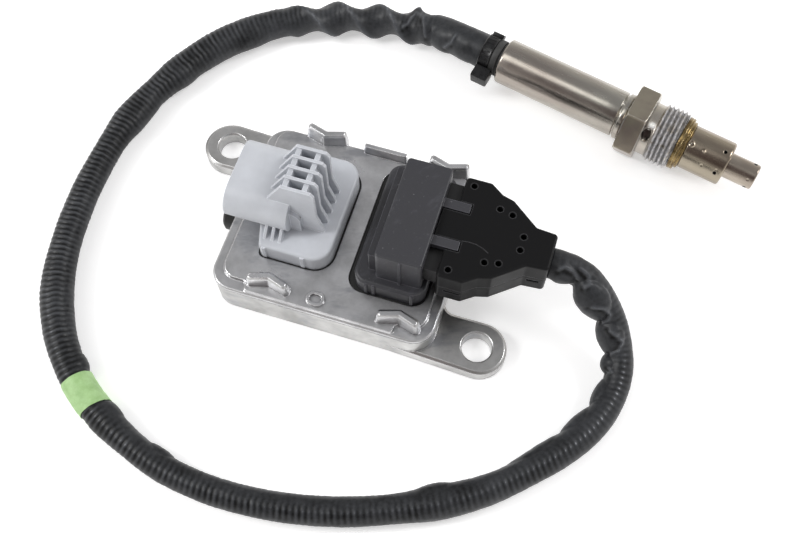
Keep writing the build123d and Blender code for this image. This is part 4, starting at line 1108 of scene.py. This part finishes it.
def tube_shape(tube_radius, holes, size, depth, dimples):
    """Gives the change of a tube's radius by its holes and dimples, which are on its outside only."""
    def change(station, radius, angle):
        if radius < tube_radius - 0.2:
            return 0.0
        pits = hole_pits(holes, station, angle, size, depth, tube_radius)
        return -pits - dimple_depth(dimples, station, radius, angle)
    return change


def hole_shade_centres(holes, radius):
    """Points just under a tube's surface at its holes, round which the steel gets painted shade."""
    return [probe_point(station, radius - 0.25, radians(turn)) for station, turn in holes]


def build_outer_tube():
    profile = [(COLLAR_FRONT + 0.05, 7.0), (COLLAR_FRONT + 0.05, 7.25)]
    profile += [(68.7 + 0.15 * k, TUBE_RADIUS) for k in range(87)]
    profile += arc_profile(81.7, 6.5, 0.9, 88, 0, 7)
    profile += [(TUBE_FRONT, 4.3), (82.1, 4.3), (82.1, 6.2), (81.3, 6.8)]
    shape = tube_shape(TUBE_RADIUS, OUTER_HOLES, 0.55, 0.5, OUTER_DIMPLES)
    return lathe("outer_tube", profile, 240, shape)


def build_inner_tube():
    profile = [(72.0, 3.85)] + [(station, TIP_RADIUS) for station in (72.0, 76.0, 82.0, 86.0)]
    profile += [(89.0 + 0.15 * k, TIP_RADIUS) for k in range(20)]
    profile += arc_profile(91.9, 3.75, 0.5, 88, 0, 6)
    profile += [(TIP_FRONT, 1.4), (91.9, 1.4), (91.9, 3.3)]
    shape = tube_shape(TIP_RADIUS, TIP_HOLES, 0.5, 0.4, TIP_DIMPLES)
    return lathe("inner_tube", profile, 120, shape)


# The tube steels get painted shade round their holes.
brown_steel = steel("tube_steel", (0.36, 0.315, 0.245), (0.27, 0.22, 0.175), 0.2,
                    hole_shade_centres(OUTER_HOLES, TUBE_RADIUS))
grey_steel = steel("tip_steel", (0.42, 0.37, 0.31), (0.3, 0.25, 0.21), 0.2,
                   hole_shade_centres(TIP_HOLES, TIP_RADIUS))
finish_piece(build_outer_tube(), brown_steel, "outer_protection_tube")
finish_piece(build_inner_tube(), grey_steel, "inner_protection_tube")

# Plug: raised rims round its moulded holes and a fine flow line on its top face
PLUG_TOP = 33.0
PLUG_AXIS = 1.35
PLUG_HOLES = [(35.7, 14.35), (45.0, 9.05), (49.0, 8.2), (53.9, 2.2)]
RIM_PROFILE = [(0.96, -0.3), (0.96, 0.0), (1.02, 0.07), (1.14, 0.07), (1.24, 0.0), (1.24, -0.05)]
FLOW_LINE = [(36.9, -3.0), (39.0, -2.75), (41.2, -2.85), (43.4, -3.5), (45.4, -4.6)]
FLOW_SECTION = [(-0.2, -0.02), (0.0, 0.13), (0.2, -0.02)]


def add_rim(work, x, y, segments=28):
    """Raised rim round one moulded hole."""
    rings = []
    for radius, height in RIM_PROFILE:
        rings.append([work.verts.new(Vector((x + radius * cos(tau * k / segments),
                                             y + radius * sin(tau * k / segments),
                                             PLUG_TOP + height)) * MM)
                      for k in range(segments)])
    add_rings(work, rings)


def add_flow_line(work):
    """Low ridge along a line on the plug's top face."""
    for (x1, y1), (x2, y2) in zip(FLOW_LINE, FLOW_LINE[1:]):
        along = Vector((x2 - x1, y2 - y1, 0.0)).normalized()
        across = UP.cross(along)
        rows = []
        for x, y in ((x1, y1), (x2, y2)):
            rows.append([work.verts.new((Vector((x, y, PLUG_TOP + height)) + across * shift) * MM)
                         for shift, height in FLOW_SECTION])
        for k in range(2):
            work.faces.new((rows[0][k], rows[0][k + 1], rows[1][k + 1], rows[1][k]))


def build_plug_rims():
    work = bmesh.new()
    for x, half in PLUG_HOLES:
        for y in (PLUG_AXIS + half, PLUG_AXIS - half):
            add_rim(work, x, y)
    add_flow_line(work)
    return work_object("plug_rims", work, 60)


finish_piece(build_plug_rims(), plug_plastic)


# Floor and lights
def add_stage():
    bpy.ops.mesh.primitive_plane_add(size=6.0, location=(0.0, 0.0, -0.0003))
    floor = bpy.context.object
    floor.name = "floor"
    shader = Shader("floor_white", (0.9, 0.9, 0.9), 0.9, Emission_Color=(1.0, 1.0, 1.0, 1.0),
                    Emission_Strength=0.4)
    shader.to("Roughness", shader.level(shader.noise(3, 2), 0.0, 1.0, 0.86, 0.94))
    floor.data.materials.append(shader.material)


LAMP_SIZE = 0.4
SKY_LOW = (0.95, 0.93, 0.9)
SKY_HIGH = (0.42, 0.42, 0.43)
# Patches of the sky: direction, cosine at the edge and where it is full, share and colour
SKY_PATCHES = [
    ((0.0, -0.76, 0.65), 0.86, 0.97, 0.9, (0.12, 0.085, 0.085)),
    ((-0.33, -0.2, 0.92), 0.965, 0.995, 1.0, (2.6, 2.6, 2.55)),
]


def add_lamp(name, place, power):
    """Square area light that points at the origin."""
    data = bpy.data.lights.new(name, "AREA")
    data.shape = "RECTANGLE"
    data.size = LAMP_SIZE
    data.size_y = LAMP_SIZE
    data.energy = power
    light = link(bpy.data.objects.new(name, data))
    light.location = place
    light.rotation_euler = (-Vector(place)).to_track_quat("-Z", "Y").to_euler()


def add_world():
    """Bright low sky, dimmer overhead, with a warm dark patch and a bright one on the near side."""
    world = bpy.data.worlds.new("studio")
    world.use_nodes = True
    sky = Nodes(world.node_tree)
    direction = sky.node("ShaderNodeTexCoord").outputs["Generated"]
    split = sky.node("ShaderNodeSeparateXYZ")
    sky.join(direction, split.inputs["Vector"])
    colour = sky.ramp(split.outputs["Z"], 0.0, 0.85, SKY_LOW, SKY_HIGH)
    for towards, edge, full, share, tone in SKY_PATCHES:
        facing = sky.measure("DOT_PRODUCT", direction, Vector(towards).normalized())
        colour = sky.mix(sky.level(facing, edge, full, 0.0, share), colour, tone)
    background = sky.tree.nodes["Background"]
    background.inputs["Strength"].default_value = 1.0
    sky.join(colour, background.inputs["Color"])
    bpy.context.scene.world = world


add_stage()
add_world()
add_lamp("key", (-0.85, -0.28, 0.85), 6.5)
add_lamp("fill", (0.75, 0.4, 0.85), 5.0)
